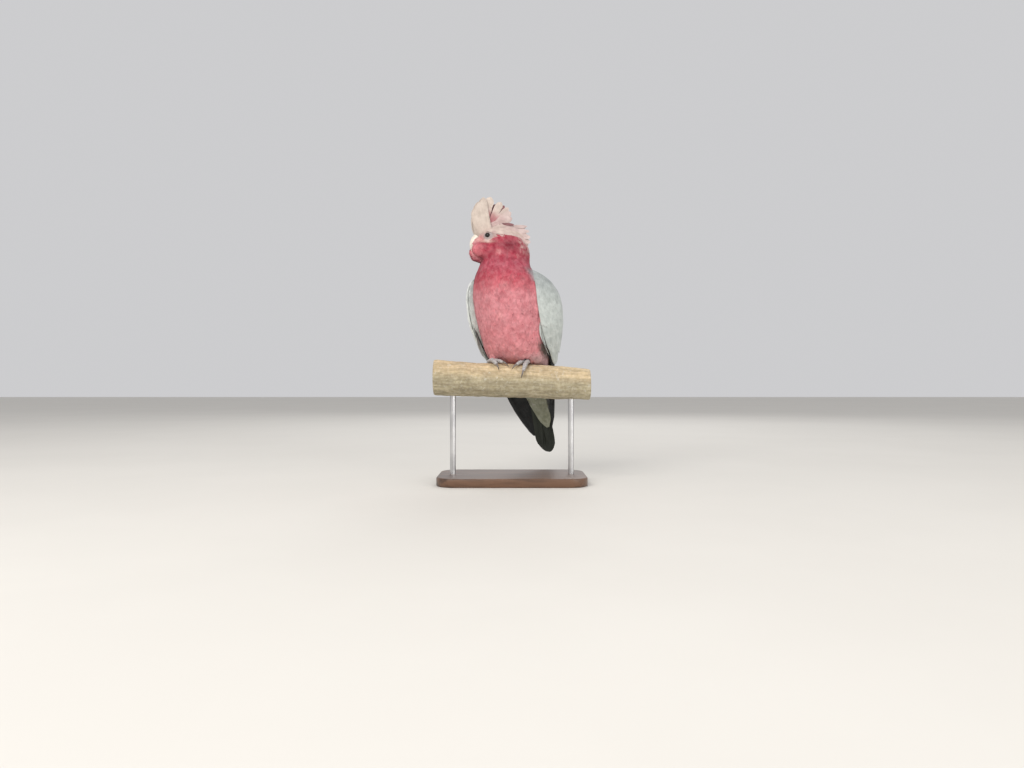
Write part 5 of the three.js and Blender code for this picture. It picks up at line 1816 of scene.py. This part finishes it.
def makeFoot(label):
    specs = feetValues[label]
    rows, columns = feetValues["toeRows"], feetValues["toeColumns"]
    verts, faces, count = [], [], 0
    shares = gathered(0.03, 0.97, rows)
    pads = feetValues["padDepth"] * np.cos(2 * math.pi * feetValues["pads"] * shares)
    for spec in specs:
        radius = spec[2] * (1 - feetValues["padDepth"] - feetValues["taper"] * shares + pads)
        radius = radius * domed(shares) * feetValues["inset"]
        middle = onToe(spec, shares, spec[2])
        grid = tube(middle, *toeFrame(middle), radius, radius, columns, 2.2)
        verts.append(withEnds(grid, middle[0], middle[-1]))
        faces += [tuple(f) for part in closeEnds(rows, columns) for f in (part + count).tolist()]
        count += len(verts[-1])
    places, quads, _ = voxelSkin(np.concatenate(verts), faces, feetValues["voxel"], 5)
    normals = vertexNormals(places, quads)
    # each point's nearest toe, how far along it, and whether on top
    best = np.full(len(places), 1e9)
    along, top = np.zeros(len(places)), np.zeros(len(places))
    steps = np.linspace(0, 1, 80)
    for spec in specs:
        toe = onToe(spec, steps, spec[2])
        far = np.linalg.norm(places[:, None] - toe[None], axis=-1)
        nearest = far.argmin(1)
        closer = far.min(1) < best
        best = np.minimum(best, far.min(1))
        reach = np.linalg.norm(toe[-1] - toe[0]) / 26
        along = np.where(closer, steps[nearest] * reach, along)
        close = toe[nearest]
        outward = unit(close - together(close[:, 0], *perchAxis(close[:, 0])))
        top = np.where(closer, (normals * outward).sum(-1), top)
    phase = along * feetValues["scutes"]
    ramp = phase - np.floor(phase)
    crease = np.exp(-((np.minimum(ramp, 1 - ramp) / 0.13) ** 2))
    upperSide = ease(-0.15, 0.35, top)
    grainy = cloudy(places, 0.9)
    lift = upperSide * (0.16 * ramp - 0.3 * crease) + (1 - upperSide) * 0.12 * grainy
    places = places + normals * lift[:, None]
    shade = blended(footShades["plate"], footShades["crease"], np.clip(0.75 * crease * upperSide, 0, 1))
    shade = blended(shade, footShades["sole"], 0.7 * (1 - upperSide)) * (1 + 0.16 * grainy)[:, None]
    foot = makePiece("foot_skin_" + label, places, [quads], footMaterial, plumage=shade, bird=False)
    keep(foot, "foot_skin", "foot_" + label)


def makeClaws(label):
    points, quads, tris, shades, uvs, count = [], [], [], [], [], 0
    rows, columns = feetValues["clawRows"], feetValues["clawColumns"]
    low = 2 * feetValues["clawTip"]
    knots, shares = np.array([0, 0.35, 0.7, 1]), gathered(0.03, 1, rows)
    for spec in feetValues[label]:
        run = abs(math.radians(spec[1][1] - spec[0][1])) * perchValues["radius"]
        lifts = low + feetValues["clawArch"] * np.sin(math.pi * knots) + (1 - knots) * (spec[2] - low)
        curve = smoothTable(onToe(spec, feetValues["clawStart"] + knots * spec[3] / run, lifts))
        middle = curve(evenly(curve, shares))
        radius = np.maximum(0.16, feetValues["clawRadius"] * (1 - 0.92 * shares**1.1))
        radius = radius * domed(shares * 0.5 + 0.5)
        start = np.sqrt(np.clip(1 - (1 - shares / 0.2) ** 2, 0, 1)) * (shares < 0.2) + (shares >= 0.2)
        grid = tube(middle, *toeFrame(middle), radius * start, radius * start * 0.86, columns, 2.1)
        points.append(withEnds(grid, middle[0], middle[-1]))
        sides, ends = closeEnds(rows, columns)
        quads.append(sides + count)
        tris.append(ends + count)
        count += len(points[-1])
        worn = ease(0.2, 0.9, shares)[:, None] * np.ones(columns)
        horn = blended(footShades["claw"], footShades["clawTip"], worn)
        shades.append(withEnds(horn, horn[0, 0], horn[-1, 0]))
        uvs.append(growthUv(shares, columns))
    points, quads, tris = (np.concatenate(part) for part in (points, quads, tris))
    claws = makePiece("claw_horn_" + label, points, [quads, tris], clawMaterial,
                      {"growth": np.concatenate(uvs)}, np.concatenate(shades), bird=False)
    keep(claws, "claw_horn", *[f"claw_{label}_{k}" for k in (1, 2, 3, 4)])


def clawGloss():
    pen = Finish("claw_horn", Coat_Weight=0.3, Coat_Roughness=0.2, Specular_IOR_Level=0.5)
    drawn = pen.group(grain, Light=pen.plumage(), Dark=(0.008, 0.007, 0.007, 1), Place=pen.unwrap("growth"),
                      Fibres=60.0, Contrast=0.5)
    return pen.done(drawn["Colour"], drawn["Height"], 0.3, 0.0001, drawn["Height"], 0.0, 1.0, 0.45, 0.3)


footMaterial, clawMaterial = scalySkin("foot_skin", 0.4, 1100.0, 0.35, 0.75, 0.5), clawGloss()
for side, label in bothSides:
    makeFoot(label)
    makeClaws(label)
print("feet and claws made")


# The display stand: a board with its edges eased, and two rods.
standValues = {"width": 204.0, "depth": 116.0, "height": 12.0, "corner": 26.0, "edge": 2.0,
               "cornerSteps": 15, "rodX": 82.0, "rodRadius": 4.0, "rodEdge": 0.4, "rodColumns": 48,
               "intoBase": 7.0, "intoPerch": 12.0, "shortOfEnds": 0.1}


def walnut():
    pen = Finish("stand_walnut", Coat_Weight=0.35, Coat_Roughness=0.3, Specular_IOR_Level=0.4)
    drawn = pen.group(grain, Light=(0.145, 0.075, 0.042, 1), Dark=(0.035, 0.017, 0.01, 1), Place=pen.place(),
                      Fibres=260.0, Contrast=0.9)
    return pen.done(drawn["Colour"], drawn["Height"], 0.2, 0.0002, drawn["Height"], 0.2, 0.8, 0.38, 0.55)


def brushedSteel():
    pen = Finish("brushed_steel", Metallic=1.0)
    place = pen.place()
    brushed = pen.cloud(pen.stretch(place, (1.0, 1.0, 30.0)), 260.0, 4.0, 0.7)
    smears = pen.cloud(place, 45.0, 3.0)
    shade = pen.mix(pen.spread(smears, 0.35, 0.65), (0.52, 0.52, 0.53, 1), (0.66, 0.66, 0.66, 1))
    return pen.done(shade, brushed, 0.15, 0.0001, brushed, 0.2, 0.8, 0.26, 0.42)


def makeBoard():
    corner, edge, height = standValues["corner"], standValues["edge"], standValues["height"]
    halfX, halfY = standValues["width"] / 2 - corner, standValues["depth"] / 2 - corner
    steps = standValues["cornerSteps"]
    turn = np.radians(np.concatenate([np.linspace(a, a + 90, steps) for a in (0, 90, 180, 270)]))
    middle = np.repeat([[halfX, halfY], [-halfX, halfY], [-halfX, -halfY], [halfX, -halfY]], steps, axis=0)
    facing = np.stack([np.cos(turn), np.sin(turn)], -1)

    def level(out, up):
        return np.column_stack([middle + facing * out, np.full(len(turn), up)])

    profile = [(-edge, 0.0), (-0.4, 0.5), (0.0, 1.0), (0.0, height - edge)]
    profile += [(edge * (math.cos(a) - 1), height - edge + edge * math.sin(a))
                for a in np.radians([20, 40, 60, 80, 90]).tolist()]
    rings = [level((corner - edge) * share, 0.0) for share in (0.4, 0.75)]
    rings += [level(corner + out, up) for out, up in profile]
    rings += [level((corner - edge) * share, height) for share in (0.75, 0.4)]
    board = makePiece("stand_board", withEnds(np.array(rings), [0, 0, 0], [0, 0, height]),
                      closeEnds(len(rings), len(turn)), walnut(), bird=False)
    keep(board, "stand_wood", "stand_base")


def makeRod(side, label, material):
    x = np.array(side * standValues["rodX"])
    under = perchAxis(x)[1] - perchRadius(x, math.pi)
    low = standValues["height"] - standValues["intoBase"] + standValues["shortOfEnds"]
    high = under + standValues["intoPerch"] - standValues["shortOfEnds"]
    radius, edge = standValues["rodRadius"], standValues["rodEdge"]
    heights = [(low, radius - edge), (low + edge, radius),
               *[(h, radius) for h in np.linspace(low + 4, high - 4, 12)],
               (high - edge, radius), (high, radius - edge)]
    box = np.array(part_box("stand_rod_" + label)) * 1000
    middleX, middleY, _ = (box[0] + box[1]) / 2
    grid = np.array([[(middleX + r * math.cos(t), middleY + r * math.sin(t), h)
                      for t in roundTurn(standValues["rodColumns"])] for h, r in heights])
    rod = makePiece("stand_steel_" + label, withEnds(grid, [middleX, middleY, low], [middleX, middleY, high]),
                    closeEnds(len(heights), standValues["rodColumns"]), material, bird=False)
    keep(rod, "stand_steel", "stand_rod_" + label)


makeBoard()
steel = brushedSteel()
for side, label in bothSides:
    makeRod(side, label, steel)
print("stand made")

# The stage: a pale floor, a plain sky, three soft lamps and the camera.
stageValues = {
    "floor": tint("d9d6d0"), "floorSize": 14.0, "sky": 0.62, "skyColour": (0.98, 0.98, 1.0, 1),
    "lamps": {"key": ((-0.9, -1.6, 1.35), (0, 0, 0.25), 1.3, 1.3, 33, (1.0, 0.97, 0.93)),
              "fill": ((1.5, -1.5, 0.6), (0, 0, 0.25), 1.6, 1.2, 17, (1.0, 0.98, 0.96)),
              "back": ((0.3, 1.8, 1.5), (0, 0, 0.3), 1.2, 0.8, 12, (1.0, 1.0, 1.0))},
    "camera": (0.0, -1.068, 0.137), "lens": 27.0, "sensor": 36.0,
}


def makeStage():
    pen = Finish("pale_floor", Roughness=0.9, Specular_IOR_Level=0.15)
    marked = pen.group(mottle, Colour=(*stageValues["floor"], 1.0), Place=pen.place(), Scale=3.0, Amount=0.02)
    pen.feed(pen.surface["Base Color"], marked["Colour"])
    half = stageValues["floorSize"] / 2
    corners = [(-half, -half, 0), (half, -half, 0), (half, half, 0), (-half, half, 0)]
    mesh = bpy.data.meshes.new("floor")
    mesh.from_pydata(corners, [], [(0, 1, 2, 3)])
    mesh.materials.append(pen.material)
    floor = bpy.data.objects.new("floor", mesh)
    bpy.context.scene.collection.objects.link(floor)
    floor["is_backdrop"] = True


def softbox(name, place, target, width, height, power, colour):
    light = bpy.data.lights.new(name, "AREA")
    light.shape = "RECTANGLE"
    light.size, light.size_y = width, height
    light.energy = power
    light.color = colour
    lamp = bpy.data.objects.new(name, light)
    lamp.location = place
    lamp.rotation_euler = (Vector(target) - Vector(place)).to_track_quat("-Z", "Y").to_euler()
    bpy.context.scene.collection.objects.link(lamp)


makeStage()
world = bpy.data.worlds.new("studio")
world.use_nodes = True
sky = world.node_tree.nodes["Background"].inputs
sky["Color"].default_value, sky["Strength"].default_value = stageValues["skyColour"], stageValues["sky"]
bpy.context.scene.world = world
for name, values in stageValues["lamps"].items():
    softbox(name, *values)

cameraData = bpy.data.cameras.new("camera")
cameraData.lens, cameraData.sensor_width = stageValues["lens"], stageValues["sensor"]
camera = bpy.data.objects.new("camera", cameraData)
camera.location = stageValues["camera"]
camera.rotation_euler = (math.radians(90), 0, 0)
bpy.context.scene.collection.objects.link(camera)
bpy.context.scene.camera = camera
bpy.context.scene.view_settings.view_transform = "Standard"
print("stage, lights and camera set")

low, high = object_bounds()
